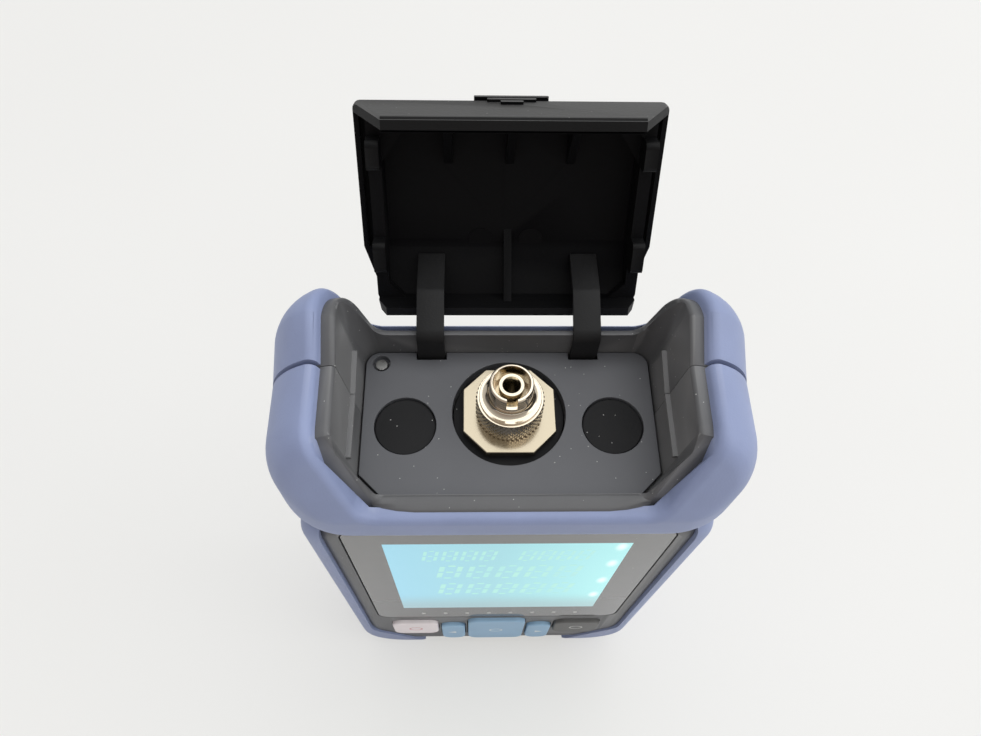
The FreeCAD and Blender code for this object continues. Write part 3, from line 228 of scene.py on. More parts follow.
def softened(node, name, width, segments=3, corner=32):
    """A copy of a CAD node with its seams merged, its edges rounded and its curves smooth."""
    bm = bmesh.new()
    bm.from_mesh(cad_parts[node].data)
    bmesh.ops.remove_doubles(bm, verts=bm.verts, dist=0.002 * MM)
    bmesh.ops.recalc_face_normals(bm, faces=bm.faces)
    bmesh.ops.dissolve_limit(bm, angle_limit=math.radians(0.4), verts=bm.verts, edges=bm.edges)
    for face in bm.faces:
        face.smooth = True
    mesh = bpy.data.meshes.new(name)
    bm.to_mesh(mesh)
    bm.free()
    mesh.set_sharp_from_angle(angle=math.radians(corner))
    piece = bpy.data.objects.new(name, mesh)
    bpy.context.collection.objects.link(piece)
    rounding = piece.modifiers.new("rounded_edges", "BEVEL")
    rounding.width = width
    rounding.segments = segments
    rounding.limit_method = "ANGLE"
    rounding.angle_limit = math.radians(corner)
    rounding.harden_normals = True
    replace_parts(piece, node)
    return piece


def eased(value, start, end):
    """A smooth step from 0 at start to 1 at end."""
    share = min(1, max(0, (value - start) / (end - start)))
    return share * share * (3 - 2 * share)


def peaked(piece):
    """Draws the rear tips of both ears up to a blunt point, more with their height."""
    tip_rise, tip_height = 4.2 * MM, 17 * MM
    for vert in piece.data.vertices:
        across, back, up = abs(vert.co.x), vert.co.y, vert.co.z - PANEL
        vert.co.z += (tip_rise * eased(across, 18 * MM, 28 * MM) * eased(back, 1 * MM, 9 * MM)
                      * min(1, max(0, up / tip_height)))


PANEL = 121 * MM
blue_rubber = moulded("blue_rubber", (0.265, 0.315, 0.50), 0.52, 2600, 0.05 * MM, 0.06, 0.5, 0.35,
                      (0.38, 0.42, 0.58))
for node in ("front_bumper", "rear_bumper"):
    bumper = softened(node, node + "_rubber", 0.6 * MM)
    peaked(bumper)
    bumper.data.materials.append(blue_rubber)
    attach(bumper, "housing")

# The two halves of the hard case, moulded in dark-grey plastic with a fine spark texture.
# They show as the bead-like lip round the bay, its walls and the frame of the display.
case_grey = moulded("case_grey", (0.105, 0.106, 0.11), 0.46, 3400, 0.03 * MM, 0.08, 0.5, 0.45,
                    (0.26, 0.26, 0.26), 0.25)
for node in ("front_shell", "rear_shell"):
    shell = softened(node, node + "_plastic", 0.45 * MM)
    peaked(shell)
    shell.data.materials.append(case_grey)
    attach(shell, "housing")

# The front lip's rounded bead, part of the front shell's moulding, which laps over the
# rubber in front of the bay. Its front edge draws back towards both ends.
lip_inner = [(-14.3, 1.5), (-14.32, 2.3), (-14.5, 2.6), (-15.0, 2.74), (-16.0, 2.72)]
lip_outer = [(0.6, 2.62), (0.2, 2.4), (0.0, 1.9)]
bm = bmesh.new()
lip_row = []
for across, front in ((-24.4, -16.2), (-22.5, -16.85), (-20.0, -17.35), (-17.0, -17.6), (17.0, -17.6),
                      (20.0, -17.35), (22.5, -16.85), (24.4, -16.2)):
    lip_form = lip_inner + [(front + behind, up) for behind, up in lip_outer]
    lip_places = [(across * MM, along * MM, PANEL + up * MM) for along, up in lip_form]
    if lip_row:
        grown = bmesh.ops.extrude_edge_only(bm, edges=lip_row)["geom"]
        lip_verts = sorted((item for item in grown if isinstance(item, bmesh.types.BMVert)),
                           key=lambda vert: lip_order[tuple(vert.co)])
        lip_row = [item for item in grown if isinstance(item, bmesh.types.BMEdge) and all(
            vert in lip_verts for vert in item.verts)]
        for vert, place in zip(lip_verts, lip_places):
            vert.co = place
    else:
        lip_verts = [bm.verts.new(place) for place in lip_places]
        lip_row = [bm.edges.new(pair) for pair in zip(lip_verts, lip_verts[1:])]
    lip_order = {tuple(vert.co): number for number, vert in enumerate(lip_verts)}
bmesh.ops.recalc_face_normals(bm, faces=bm.faces)
for face in bm.faces:
    face.smooth = True
lip_mesh = bpy.data.meshes.new("front_lip_bead")
bm.to_mesh(lip_mesh)
bm.free()
lip_mesh.materials.append(case_grey)
lip_bead = bpy.data.objects.new("front_lip_bead", lip_mesh)
bpy.context.collection.objects.link(lip_bead)
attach(lip_bead, "housing")

# The battery door, a flat lid of the case's own plastic, let into the back of the case
# and held by one screw.
door = softened("battery_door", "battery_door_lid", 0.2 * MM)
door.data.materials.append(case_grey)
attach(door, "housing")

# The connector panel, a flat satin-grey moulding dropped into the bay and held by the case
# round it and one screw, with pale dust on it.
panel_grey = moulded("panel_grey", (0.118, 0.121, 0.131), 0.5, 4200, 0.012 * MM, 0.05, 0.4, 0.0,
                     (0.3, 0.3, 0.3), 0.3)
panel = softened("connector_panel", "connector_panel_plate", 0.12 * MM, 2)
panel.data.materials.append(panel_grey)
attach(panel, "housing")

# The blanked side ports: black rubber discs pushed into the panel's round holes, a little
# below its face.
plug_black = moulded("plug_black", (0.012, 0.012, 0.013), 0.7, 2500, 0.03 * MM, 0.1, 0.3, specks=0.15)
for node in ("port_plug_left", "port_plug_right"):
    plug = softened(node, node + "_disc", 0.1 * MM, 2)
    plug.data.materials.append(plug_black)
    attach(plug, "housing")


# The detector's hub: a turned brass stub under an eight-sided plate, nickel plated and
# polished until it mirrors the ring above it. It stands in a black seat in the deck.
def plated(name, colour, roughness, streak):
    """Bright nickel plate with faint turning or rolling lines."""
    made = bpy.data.materials.new(name)
    made.use_nodes = True
    nodes, links = made.node_tree.nodes, made.node_tree.links
    shader = nodes["Principled BSDF"]
    shader.inputs["Metallic"].default_value = 1.0
    place = nodes.new("ShaderNodeTexCoord")
    stretch = nodes.new("ShaderNodeMapping")
    stretch.inputs["Scale"].default_value = streak
    lines = nodes.new("ShaderNodeTexNoise")
    lines.inputs["Scale"].default_value = 900
    lines.inputs["Detail"].default_value = 4
    tone = nodes.new("ShaderNodeValToRGB")
    tone.color_ramp.elements[0].color = (*(part * 0.93 for part in colour), 1)
    tone.color_ramp.elements[1].color = (*colour, 1)
    dull = nodes.new("ShaderNodeMapRange")
    dull.inputs["To Min"].default_value = roughness * 0.7
    dull.inputs["To Max"].default_value = roughness * 1.3
    relief = nodes.new("ShaderNodeBump")
    relief.inputs["Strength"].default_value = 0.12
    relief.inputs["Distance"].default_value = 0.004 * MM
    links.new(place.outputs["Object"], stretch.inputs["Vector"])
    links.new(stretch.outputs["Vector"], lines.inputs["Vector"])
    links.new(lines.outputs["Fac"], tone.inputs["Fac"])
    links.new(tone.outputs["Color"], shader.inputs["Base Color"])
    links.new(lines.outputs["Fac"], dull.inputs["Value"])
    links.new(dull.outputs["Result"], shader.inputs["Roughness"])
    links.new(lines.outputs["Fac"], relief.inputs["Height"])
    links.new(relief.outputs["Normal"], shader.inputs["Normal"])
    return made


plate_nickel = plated("plate_nickel", (0.44, 0.385, 0.285), 0.18, (1, 0.05, 1))
hub = softened("detector_flange", "detector_flange_plate", 0.1 * MM, 2)
hub.data.materials.append(plate_nickel)
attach(hub, "housing")
seat = softened("detector_seat", "detector_seat_ring", 0.12 * MM, 2)
seat.data.materials.append(plug_black)
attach(seat, "housing")


# The screws: zinc-plated steel with a cross recess. One holds the panel beside the adapter,
# four hold the case from the back and one holds the battery door.
def cross_screw(bm, place, shank, length, head, thick):
    """Adds a cross-headed screw whose head is seated at the place's origin, facing its +Z."""
    own = bmesh.new()
    bmesh.ops.create_circle(own, cap_ends=True, segments=40, radius=0.84 * head)
    arm, slit = 0.62 * head, 0.16 * head
    for along in (Vector((1, 0, 0)), Vector((0, 1, 0))):
        for reach in (-arm, -slit, slit, arm):
            bmesh.ops.bisect_plane(own, geom=own.verts[:] + own.edges[:] + own.faces[:], dist=1e-7,
                                   plane_co=along * reach, plane_no=along)
    recess = []
    for face in own.faces:
        middle = face.calc_center_median()
        across, along = sorted((abs(middle.x), abs(middle.y)))
        if across < slit and along < arm:
            recess.append(face)
    sunk = bmesh.ops.extrude_face_region(own, geom=recess)["geom"]
    floor_verts = [item for item in sunk if isinstance(item, bmesh.types.BMVert)]
    bmesh.ops.translate(own, verts=floor_verts, vec=(0, 0, -0.55 * thick))
    for radius, height in ((head, -0.35 * thick), (head, -thick), (shank, -thick),
                           (shank, -thick - length)):
        rim = [edge for edge in own.edges if edge.is_boundary]
        grown = bmesh.ops.extrude_edge_only(own, edges=rim)["geom"]
        for vert in (item for item in grown if isinstance(item, bmesh.types.BMVert)):
            flat = Vector((vert.co.x, vert.co.y, 0)).normalized() * radius
            vert.co = Vector((flat.x, flat.y, height))
    bmesh.ops.holes_fill(own, edges=[edge for edge in own.edges if edge.is_boundary], sides=0)
    bmesh.ops.recalc_face_normals(own, faces=own.faces)
    bmesh.ops.translate(own, verts=own.verts, vec=(0, 0, thick))
    own.transform(place)
    loose = bpy.data.meshes.new("loose_screw")
    own.to_mesh(loose)
    own.free()
    bm.from_mesh(loose)
    bpy.data.meshes.remove(loose)


def placed(bm, name, body, material, corner=32):
    """Turns a finished bmesh into a smooth piece that rides on a body."""
    for face in bm.faces:
        face.smooth = True
    mesh = bpy.data.meshes.new(name)
    bm.to_mesh(mesh)
    bm.free()
    mesh.set_sharp_from_angle(angle=math.radians(corner))
    mesh.materials.append(material)
    piece = bpy.data.objects.new(name, mesh)
    bpy.context.collection.objects.link(piece)
    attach(piece, body)
    return piece


zinc = plated("zinc", (0.60, 0.60, 0.58), 0.28, (1, 1, 1))
bm = bmesh.new()
panel_screw_place = Matrix.Translation(Vector((-24.5, 13.25, 119.7)) * MM)
cross_screw(bm, panel_screw_place, 0.85 * MM, 5.0 * MM, 1.3 * MM, 0.7 * MM)
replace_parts(placed(bm, "panel_screw_head", "housing", zinc), "panel_screw")
facing_back = Matrix.Rotation(math.radians(-90), 4, "X")
bm = bmesh.new()
for across in (-30.5, 30.5):
    for up in (12.01, 102.99):
        case_screw_place = Matrix.Translation(Vector((across, 11.3, up)) * MM) @ facing_back
        cross_screw(bm, case_screw_place, 1.25 * MM, 13.0 * MM, 2.5 * MM, 1.8 * MM)
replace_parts(placed(bm, "case_screw_heads", "housing", zinc), "case_screws")
bm = bmesh.new()
door_screw_place = Matrix.Translation(Vector((0, 16.6, 86.5)) * MM) @ facing_back
cross_screw(bm, door_screw_place, 1.25 * MM, 7.0 * MM, 2.5 * MM, 0.7 * MM)
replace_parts(placed(bm, "door_screw_head", "housing", zinc), "door_screw")

# The screw-on fibre adapter: turned brass, nickel plated, with a diamond-knurled ring to
# grip it by, a dished shoulder and a fine thread round the notched barrel.
ring_nickel = plated("ring_nickel", (0.72, 0.63, 0.50), 0.12, (1, 1, 0.05))
ring_nodes, ring_links = ring_nickel.node_tree.nodes, ring_nickel.node_tree.links
ring_colour = ring_nodes["Principled BSDF"].inputs["Base Color"]
# Painted shade and reflection: the ring turns near black in the knurl's grooves, found by pointiness,
# standing in for the shade and dark reflections there.
groove_shape = ring_nodes.new("ShaderNodeNewGeometry")
groove_shade_share = ring_nodes.new("ShaderNodeMapRange")
groove_shade_share.inputs["From Min"].default_value = 0.40
groove_shade_share.inputs["From Max"].default_value = 0.495
groove_shade_share.inputs["To Min"].default_value = 0.9
groove_shade_share.inputs["To Max"].default_value = 0.0
groove_painted_shade = ring_nodes.new("ShaderNodeMix")
groove_painted_shade.data_type = "RGBA"
groove_painted_shade.inputs["B"].default_value = (0.06, 0.035, 0.025, 1)
ring_links.new(groove_shape.outputs["Pointiness"], groove_shade_share.inputs["Value"])
ring_links.new(groove_shade_share.outputs["Result"], groove_painted_shade.inputs["Factor"])
ring_links.new(ring_colour.links[0].from_socket, groove_painted_shade.inputs["A"])
ring_links.new(groove_painted_shade.outputs["Result"], ring_colour)
knurl_low, knurl_high, knurl_radius, knurl_depth = 1.38, 6.0, 6.3, 0.38
thread_low, thread_high, thread_radius, thread_depth = 8.35, 11.7, 4.0, 0.10
knurls, knurl_pitch, thread_pitch = 44, 1.4, 0.75
knurl_rows, thread_rows, turn_steps = 46, 36, 352
flare_radius, flare_steps = 1.3, 10
hub_back = 2.7
notch_width, notch_long, notch_tall, notch_start, notch_level = 1.95, 5.75, 3.4, 2.25, 10.8
profile = [(4.68, 1.08), (6.0, 1.08)]
profile += [(knurl_radius, knurl_low + (knurl_high - knurl_low) * row / knurl_rows)
            for row in range(knurl_rows + 1)]
profile += [(6.0, 6.3), (5.7, 6.32), (5.7, 6.8), (5.62, 6.9)]
for step in range(flare_steps + 1):
    bend = math.radians(90) * step / flare_steps
    profile.append((5.3 - flare_radius * math.sin(bend), 8.2 - flare_radius * math.cos(bend)))
profile += [(thread_radius, thread_low + (thread_high - thread_low) * row / thread_rows)
            for row in range(thread_rows + 1)]
profile += [(3.8, 11.95), (3.7, 12.0), (3.42, 12.0), (3.35, 11.93), (3.35, 6.2), (2.33, 6.2), (2.33, 5.3),
            (4.68, 5.3)]
bm = bmesh.new()
corners = [bm.verts.new((radius * MM, 0, height * MM)) for radius, height in profile]
outline = [bm.edges.new((first, second)) for first, second in zip(corners, corners[1:] + corners[:1])]
bmesh.ops.spin(bm, geom=corners + outline, cent=(0, 0, 0), axis=(0, 0, 1),
               angle=math.radians(360), steps=turn_steps, use_merge=True)
bmesh.ops.remove_doubles(bm, verts=bm.verts, dist=0.001 * MM)
bmesh.ops.recalc_face_normals(bm, faces=bm.faces)
for vert in bm.verts:
    radius, height = math.hypot(vert.co.x, vert.co.y) / MM, vert.co.z / MM
    share = math.atan2(vert.co.y, vert.co.x) / math.radians(360)
    if abs(radius - knurl_radius) < 0.001:
        one = abs((share * knurls + height / knurl_pitch) % 1 - 0.5)
        other = abs((share * knurls - height / knurl_pitch) % 1 - 0.5)
        sunk = knurl_depth * (1 - min(1, 2.6 * min(0.5 - one, 0.5 - other)))
    elif abs(radius - thread_radius) < 0.001 and thread_low < height < thread_high:
        sunk = thread_depth * (1 - 2 * abs((height / thread_pitch - share) % 1 - 0.5))
    else:
        continue
    vert.co.x *= 1 - sunk / radius
    vert.co.y *= 1 - sunk / radius
bmesh.ops.translate(bm, verts=bm.verts, vec=(0, hub_back * MM, PANEL))
adapter = placed(bm, "fibre_adapter_barrel", "adapter", ring_nickel, 28)
bm = bmesh.new()
bmesh.ops.create_cube(bm, size=1.0)
bmesh.ops.scale(bm, verts=bm.verts, vec=(notch_width * MM, notch_long * MM, notch_tall * MM))
bmesh.ops.translate(bm, verts=bm.verts, vec=(
    0, (hub_back - notch_start - notch_long / 2) * MM, PANEL + notch_level * MM))
notch_mesh = bpy.data.meshes.new("key_notch")
bm.to_mesh(notch_mesh)
bm.free()
notch = bpy.data.objects.new("key_notch", notch_mesh)
bpy.context.collection.objects.link(notch)
notching = adapter.modifiers.new("key_notch", "BOOLEAN")
notching.operation = "DIFFERENCE"
notching.solver = "EXACT"
notching.object = notch
notched = bpy.data.meshes.new_from_object(adapter.evaluated_get(bpy.context.evaluated_depsgraph_get()))
adapter.modifiers.remove(notching)
adapter.data = notched
bpy.data.objects.remove(notch)
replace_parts(adapter, "fibre_adapter")

# The alignment sleeve inside the barrel, a bright turned tube with a funnel mouth that
# guides the connector's ferrule.
sleeve_bright = plated("sleeve_bright", (0.66, 0.59, 0.46), 0.14, (1, 1, 0.05))
sleeve = softened("alignment_sleeve", "alignment_sleeve_tube", 0.05 * MM, 2)
sleeve.data.materials.append(sleeve_bright)
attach(sleeve, "sleeve")

# The dust cap, one soft black moulding with thin side flaps, stiffening ribs and a
# three-bar thumb grip, hanging open on its straps. Two ejector pins left discs in its roof.
# The one black rubber gets three tones. Outward faces are paler, with real grain and dust but lightened as
# painted light. The hollow's inside is near black as painted shade, and faces turned down are dark as
# painted shade.
cap_inside_painted_shade = moulded("cap_inside_painted_shade", (0.003, 0.003, 0.0036), 0.45, 2200, 0.03 * MM, 0.12, 0.06, 0.3,
                    (0.015, 0.015, 0.015))
cap_grain_painted_lit = moulded("cap_grain_painted_lit", (0.034, 0.033, 0.032), 0.6, 1700, 0.09 * MM, 0.25, 0.4, 0.4,
                    (0.09, 0.09, 0.088), 0.3, (0.22, 0.22, 0.21))
cap_satin = moulded("cap_satin", (0.013, 0.013, 0.0135), 0.5, 1900, 0.06 * MM, 0.15, 0.2, 0.3,
                    (0.04, 0.04, 0.04))
cap_under_painted_shade = moulded("cap_under_painted_shade", (0.006, 0.006, 0.0063), 0.5, 1900, 0.06 * MM, 0.15, 0.08, 0.3,
                    (0.03, 0.03, 0.03))
hinge = Vector((0, 19.6 * MM, PANEL + 4.75 * MM))
swung = Matrix.Translation(hinge) @ Matrix.Rotation(math.radians(-116), 4, "X") @ Matrix.Translation(-hinge)
roof_inside, wall_inside, side_out = PANEL + 15.8 * MM, -17.9 * MM, 27.8 * MM
bead_top, bead_lift, rib_end, rib_reach = PANEL + 6.0 * MM, 1.3 * MM, -11.5 * MM, 3.5 * MM
cap = softened("dust_cap", "dust_cap_rubber", 0.4 * MM)
bm = bmesh.new()
bm.from_mesh(cap.data)
bm.transform(swung.inverted())
bm.normal_update()
for vert in bm.verts:
    if vert.co.y < wall_inside + 0.4 * MM and vert.co.z < bead_top:
        vert.co.z += bead_lift
    elif abs(vert.co.y - rib_end) < 0.1 * MM and abs(vert.co.z - roof_inside) < 0.1 * MM:
        vert.co.y += rib_reach
bm.normal_update()
brim = []
for edge in bm.edges:
    at_side = all(abs(abs(vert.co.x) - side_out) < 0.05 * MM for vert in edge.verts)
    if at_side and edge.is_manifold and edge.calc_face_angle() > math.radians(50):
        if max(vert.co.z for vert in edge.verts) > PANEL + 14.3 * MM:
            brim.append(edge)
bmesh.ops.bevel(bm, geom=brim, offset=1.2 * MM, offset_type="OFFSET", affect="EDGES", segments=4,
                profile=0.5, material=-1, clamp_overlap=True)
bm.normal_update()
for face in bm.faces:
    face.smooth = True
    middle = face.calc_center_median()
    fronts = face.normal.y < -0.3 and middle.y < -18.6 * MM
    beside = abs(face.normal.x) > 0.3 and abs(middle.x) > 26.5 * MM
    above = face.normal.z > 0.3 and middle.z > PANEL + 11 * MM and abs(middle.x) < 28 * MM
    behind = face.normal.y > 0.3 and middle.y > 17.9 * MM
    under = face.normal.z < -0.3 and middle.z < PANEL + 8 * MM
    # Outward faces take the painted lit tone, and downward faces and the hollow's inside take the painted
    # shade tones.
    face.material_index = 2 if under else 1 if fronts or beside or above or behind else 0
bm.transform(swung)
bm.to_mesh(cap.data)
bm.free()
cap.data.materials.append(cap_inside_painted_shade)
cap.data.materials.append(cap_grain_painted_lit)
cap.data.materials.append(cap_under_painted_shade)
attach(cap, "cap")
web_low, web_across, web_along, flap_inside = PANEL + 11.5 * MM, 5.6 * MM, 8.2 * MM, 23.0 * MM
bm = bmesh.new()
for side in (-1, 1):
    web = [bm.verts.new((side * (flap_inside - across), wall_inside + along, web_low))
           for across, along in ((0, 0), (web_across, 0), (0, web_along))]
    raised = bmesh.ops.extrude_face_region(bm, geom=[bm.faces.new(web)])["geom"]
    bmesh.ops.translate(bm, verts=[item for item in raised if isinstance(item, bmesh.types.BMVert)],
                        vec=(0, 0, roof_inside - web_low))
bmesh.ops.recalc_face_normals(bm, faces=bm.faces)
bm.transform(swung)
placed(bm, "cap_corner_webs", "cap", cap_inside_painted_shade)
disc_radius, disc_height = 2.3 * MM, 0.12 * MM
bm = bmesh.new()
for across in (-5.3, 4.5):
    bmesh.ops.create_cone(bm, cap_ends=True, segments=48, radius1=disc_radius, radius2=disc_radius,
                          depth=2 * disc_height,
                          matrix=Matrix.Translation((across * MM, 7.2 * MM, roof_inside)))
bm.transform(swung)
placed(bm, "cap_ejector_discs", "cap", cap_inside_painted_shade)

# The two straps, flat black rubber tongues anchored under the deck and moulded into the cap,
# bent over the rear rim where the cap hangs open. Each is sliced across its length and stays as it is.
for node in ("cap_strap_left", "cap_strap_right"):
    bm = bmesh.new()
    bm.from_mesh(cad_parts[node].data)
    bmesh.ops.remove_doubles(bm, verts=bm.verts, dist=0.002 * MM)
    bmesh.ops.dissolve_limit(bm, angle_limit=math.radians(0.4), verts=bm.verts, edges=bm.edges)
    sharp = [edge for edge in bm.edges if edge.is_manifold and edge.calc_face_angle() > math.radians(50)]
    bmesh.ops.bevel(bm, geom=sharp, offset=0.15 * MM, offset_type="OFFSET", affect="EDGES",
                    segments=2, profile=0.5, material=-1)
    for level in range(14, 33):
        bmesh.ops.bisect_plane(bm, geom=bm.verts[:] + bm.edges[:] + bm.faces[:], dist=1e-7,
                               plane_co=(0, level * MM, 0), plane_no=(0, 1, 0))
    bmesh.ops.triangulate(bm, faces=[face for face in bm.faces if len(face.verts) > 4])
    bmesh.ops.recalc_face_normals(bm, faces=bm.faces)
    for face in bm.faces:
        face.smooth = True
    strap_mesh = bpy.data.meshes.new(node + "_tongue")
    bm.to_mesh(strap_mesh)
    bm.free()
    strap_mesh.set_sharp_from_angle(angle=math.radians(32))
    strap_mesh.materials.append(cap_satin)
    strap = bpy.data.objects.new(node + "_tongue", strap_mesh)
    bpy.context.collection.objects.link(strap)
    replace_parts(strap, node)
    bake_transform(strap)

# The display's lens: a flat acrylic pane glued flush into the front, printed dark grey round
# a clear window. The lit display is shown on the window's front face.
print_grey = moulded("print_grey", (0.165, 0.162, 0.155), 0.06, 900, 0.0005 * MM, 0.03, 0.5, specks=0.02)
lit_display = bpy.data.materials.new("lit_display")
lit_display.use_nodes = True
lit_nodes, lit_links = lit_display.node_tree.nodes, lit_display.node_tree.links
lit_shader = lit_nodes["Principled BSDF"]
lit_shader.inputs["Base Color"].default_value = (0.02, 0.03, 0.03, 1)
lit_shader.inputs["Roughness"].default_value = 0.06
lit_shader.inputs["Emission Strength"].default_value = 1.0
lit_place = lit_nodes.new("ShaderNodeTexCoord")
lit_parts = lit_nodes.new("ShaderNodeSeparateXYZ")
lit_links.new(lit_place.outputs["Object"], lit_parts.inputs["Vector"])
lit_across = lit_nodes.new("ShaderNodeMapRange")
lit_across.inputs["From Min"].default_value = -24 * MM
lit_across.inputs["From Max"].default_value = 24 * MM
lit_tone = lit_nodes.new("ShaderNodeValToRGB")
lit_tone.color_ramp.elements[0].color = (0.24, 0.55, 0.69, 1)
lit_tone.color_ramp.elements[1].color = (0.31, 0.71, 0.71, 1)
lit_middle = lit_tone.color_ramp.elements.new(0.45)
lit_middle.color = (0.26, 0.56, 0.62, 1)
lit_links.new(lit_parts.outputs["X"], lit_across.inputs["Value"])
lit_links.new(lit_across.outputs["Result"], lit_tone.inputs["Fac"])
lit_low = lit_nodes.new("ShaderNodeMapRange")
lit_low.interpolation_type = "SMOOTHERSTEP"
lit_low.inputs["From Min"].default_value = 47 * MM
lit_low.inputs["From Max"].default_value = 66 * MM
lit_low.inputs["To Min"].default_value = 0.75
lit_low.inputs["To Max"].default_value = 0.0
lit_dim = lit_nodes.new("ShaderNodeMix")
lit_dim.data_type = "RGBA"
lit_dim.inputs["B"].default_value = (0.26, 0.38, 0.40, 1)
lit_links.new(lit_parts.outputs["Z"], lit_low.inputs["Value"])
lit_links.new(lit_low.outputs["Result"], lit_dim.inputs["Factor"])
lit_links.new(lit_tone.outputs["Color"], lit_dim.inputs["A"])
lit_squeeze = lit_nodes.new("ShaderNodeVectorMath")
lit_squeeze.operation = "MULTIPLY"
lit_squeeze.inputs[1].default_value = (2.4, 0, 1)
lit_links.new(lit_place.outputs["Object"], lit_squeeze.inputs[0])
glow = lit_dim.outputs["Result"]
for up in (102.7, 90.2, 75.6, 61.4):
    lit_gap = lit_nodes.new("ShaderNodeVectorMath")
    lit_gap.operation = "DISTANCE"
    lit_gap.inputs[1].default_value = (2.4 * 22.6 * MM, 0, up * MM)
    lit_near = lit_nodes.new("ShaderNodeMapRange")
    lit_near.interpolation_type = "SMOOTHERSTEP"
    lit_near.inputs["From Max"].default_value = 4.2 * MM
    lit_near.inputs["To Min"].default_value = 0.85
    lit_near.inputs["To Max"].default_value = 0.0
    lit_spot = lit_nodes.new("ShaderNodeMix")
    lit_spot.data_type = "RGBA"
    lit_spot.inputs["B"].default_value = (0.80, 0.95, 0.92, 1)
    lit_links.new(lit_squeeze.outputs["Vector"], lit_gap.inputs[0])
    lit_links.new(lit_gap.outputs["Value"], lit_near.inputs["Value"])
    lit_links.new(lit_near.outputs["Result"], lit_spot.inputs["Factor"])
    lit_links.new(glow, lit_spot.inputs["A"])
    glow = lit_spot.outputs["Result"]
lit_links.new(glow, lit_shader.inputs["Emission Color"])
window_lens = softened("display_lens", "display_lens_pane", 0.12 * MM, 2)
window_left, window_right, window_low, window_high = -24.4 * MM, 24.4 * MM, 47.4 * MM, 105.4 * MM
bm = bmesh.new()
bm.from_mesh(window_lens.data)
for along, cuts in ((Vector((1, 0, 0)), (window_left, window_right)),
                    (Vector((0, 0, 1)), (window_low, window_high))):
    for reach in cuts:
        bmesh.ops.bisect_plane(bm, geom=bm.verts[:] + bm.edges[:] + bm.faces[:], dist=1e-7,
                               plane_co=along * reach, plane_no=along)
for face in bm.faces:
    middle = face.calc_center_median()
    inside = window_left < middle.x < window_right and window_low < middle.z < window_high
    if face.normal.y < -0.99 and inside:
        face.material_index = 1
bm.to_mesh(window_lens.data)
bm.free()
window_lens.data.materials.append(print_grey)
window_lens.data.materials.append(lit_display)
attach(window_lens, "housing")

# The rows of seven-segment digits that the lit display shows, all segments faintly on, and
# the row of small white marks printed below the window.
segment_ink = bpy.data.materials.new("segment_ink")
segment_ink.use_nodes = True
ink_nodes, ink_links = segment_ink.node_tree.nodes, segment_ink.node_tree.links
ink_shader = ink_nodes["Principled BSDF"]
ink_shader.inputs["Base Color"].default_value = (0.03, 0.04, 0.03, 1)
ink_shader.inputs["Roughness"].default_value = 0.06
ink_shader.inputs["Emission Strength"].default_value = 1.0
ink_place = ink_nodes.new("ShaderNodeTexCoord")
ink_cloud = ink_nodes.new("ShaderNodeTexNoise")
ink_cloud.inputs["Scale"].default_value = 120
ink_tone = ink_nodes.new("ShaderNodeValToRGB")
ink_tone.color_ramp.elements[0].color = (0.28, 0.62, 0.66, 1)
ink_tone.color_ramp.elements[1].color = (0.38, 0.72, 0.58, 1)
ink_links.new(ink_place.outputs["Object"], ink_cloud.inputs["Vector"])
ink_links.new(ink_cloud.outputs["Fac"], ink_tone.inputs["Fac"])
ink_links.new(ink_tone.outputs["Color"], ink_shader.inputs["Emission Color"])
film, digit_lean = 0.02 * MM, 0.12


def bar(bm, across, up, width, height, lean=0.0):
    """Adds one thin bar that lies on the lens's front, leaning by a share of its height."""
    place = Matrix.Translation((across, -18 * MM, up)) @ Matrix.Diagonal((width, film, height, 1))
    made = bmesh.ops.create_cube(bm, size=1.0, matrix=place)["verts"]
    for vert in made:
        vert.co.x += lean * (vert.co.z - up)


bm = bmesh.new()
for first, last, count, low, high in ((-17.4, -1.6, 4, 93.2, 100.5), (2.5, 17.9, 4, 93.2, 100.5),
                                      (-15.0, 17.2, 5, 78.8, 88.9), (-15.2, 17.1, 5, 63.2, 73.3)):
    pitch = (last - first) / count * MM
    wide, tall, thick = 0.60 * pitch, (high - low) * MM, 0.18 * pitch
    for digit in range(count):
        middle = first * MM + (digit + 0.5) * pitch
        for level in (0.0, 0.5, 1.0):
            bar(bm, middle + digit_lean * (level - 0.5) * tall, low * MM + level * tall,
                wide - 2 * thick, thick)
        for side in (-0.5, 0.5):
            for level in (0.25, 0.75):
                bar(bm, middle + side * wide + digit_lean * (level - 0.5) * tall,
                    low * MM + level * tall, thick, 0.4 * tall, digit_lean)
placed(bm, "display_segments", "housing", segment_ink)
mark_white = moulded("mark_white", (0.62, 0.62, 0.60), 0.3, 1200, 0.002 * MM)
bm = bmesh.new()
for place in range(8):
    bar(bm, (-19.6 + 5.75 * place) * MM, 40.4 * MM, 0.9 * MM, 1.5 * MM)
placed(bm, "lens_marks", "housing", mark_white)

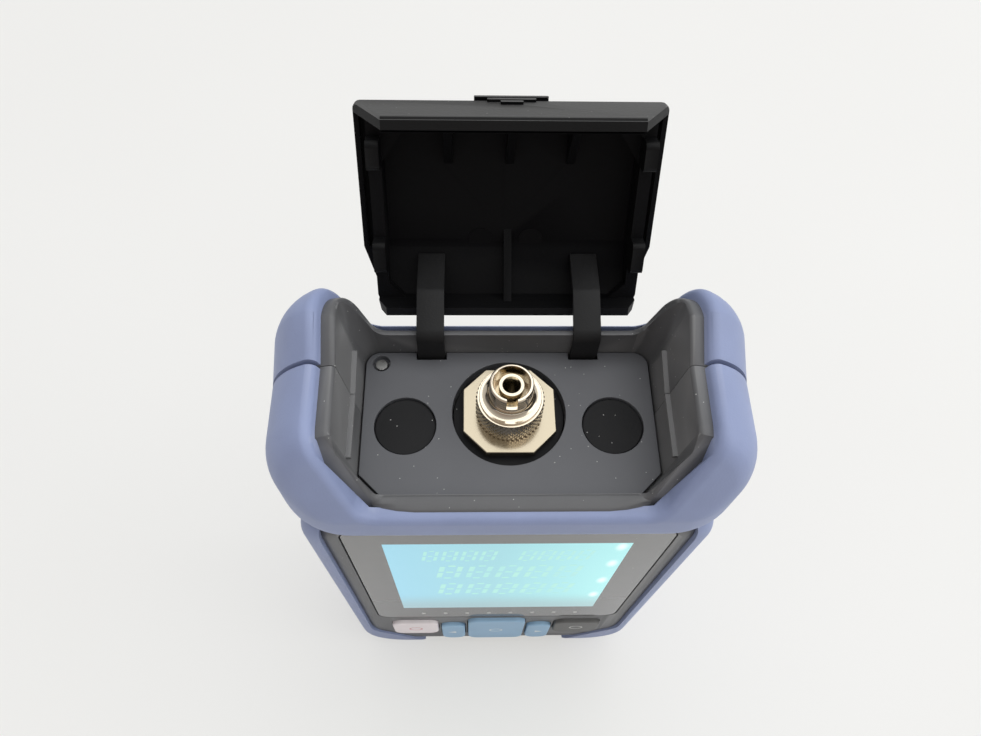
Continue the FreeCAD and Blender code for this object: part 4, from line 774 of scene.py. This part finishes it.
# The keys: soft caps that stand a little proud of the front, on springy domes under the
# mat. Each carries a plain printed mark.
for node, slot, colour, mark in (
        ("key_power", "key_white", (0.93, 0.86, 0.87), (0.72, 0.36, 0.38)),
        ("key_left", "key_blue", (0.33, 0.52, 0.71), (0.72, 0.78, 0.82)),
        ("key_enter", "key_blue", (0.33, 0.52, 0.71), (0.72, 0.78, 0.82)),
        ("key_right", "key_blue", (0.33, 0.52, 0.71), (0.72, 0.78, 0.82)),
        ("key_light", "key_grey", (0.13, 0.13, 0.125), (0.55, 0.55, 0.53))):
    key = softened(node, node + "_cap", 0.3 * MM)
    key.data.materials.append(moulded(node + "_rubber", colour, 0.5, 2600, 0.02 * MM, 0.05, 0.4))
    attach(key, node + "_body")
    low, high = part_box(node)
    middle = (Vector(low) + Vector(high)) / 2
    bm = bmesh.new()
    face_place = Matrix.Translation((middle.x, low[1], middle.z))
    face_place = face_place @ Matrix.Rotation(math.radians(90), 4, "X")
    if node in ("key_left", "key_right"):
        lean = math.radians(180 if node == "key_left" else 0)
        bmesh.ops.create_cone(bm, cap_ends=True, segments=3, radius1=1.5 * MM, radius2=1.5 * MM, depth=film,
                              matrix=face_place @ Matrix.Rotation(lean + math.radians(-90), 4, "Z"))
    else:
        ring = [bm.verts.new((radius * MM, 0, height)) for radius, height in (
            (1.5, 0), (1.9, 0), (1.9, film / 2), (1.5, film / 2))]
        loop = [bm.edges.new((first, second)) for first, second in zip(ring, ring[1:] + ring[:1])]
        bmesh.ops.spin(bm, geom=ring + loop, cent=(0, 0, 0), axis=(0, 0, 1),
                       angle=math.radians(360), steps=40, use_merge=True)
        bmesh.ops.remove_doubles(bm, verts=bm.verts, dist=0.001 * MM)
        bmesh.ops.recalc_face_normals(bm, faces=bm.faces)
        bm.transform(face_place)
    placed(bm, node + "_mark", node + "_body", moulded(node + "_print", mark, 0.45, 1200, 0.002 * MM))

# What the case hides: the display's glass, light guide and holder, the two boards, the key
# mat, the buzzer and the three cells, each in a plain finish.
HIDDEN = {"lcd_glass": (0.5, 0.8, 0.88), "backlight": (0.8, 0.9, 0.92), "lcd_holder": (0.7, 0.7, 0.7),
          "main_board": (0.02, 0.12, 0.05), "detector_board": (0.02, 0.12, 0.05),
          "key_mat": (0.5, 0.5, 0.52), "buzzer": (0.02, 0.02, 0.02), "cell_left": (0.1, 0.1, 0.11),
          "cell_middle": (0.1, 0.1, 0.11), "cell_right": (0.1, 0.1, 0.11)}
for node, colour in HIDDEN.items():
    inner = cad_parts[node]
    inner.data.materials.clear()
    inner.data.materials.append(moulded(node + "_finish", colour, 0.45, 1500, 0.02 * MM))

# The hidden metal: the diode's can, the key domes, the cell springs and contacts, and the
# screws that hold the board.
for node in ("photodiode", "key_domes", "battery_springs", "battery_contacts", "board_screws"):
    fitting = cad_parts[node]
    fitting.data.materials.clear()
    fitting.data.materials.append(zinc)
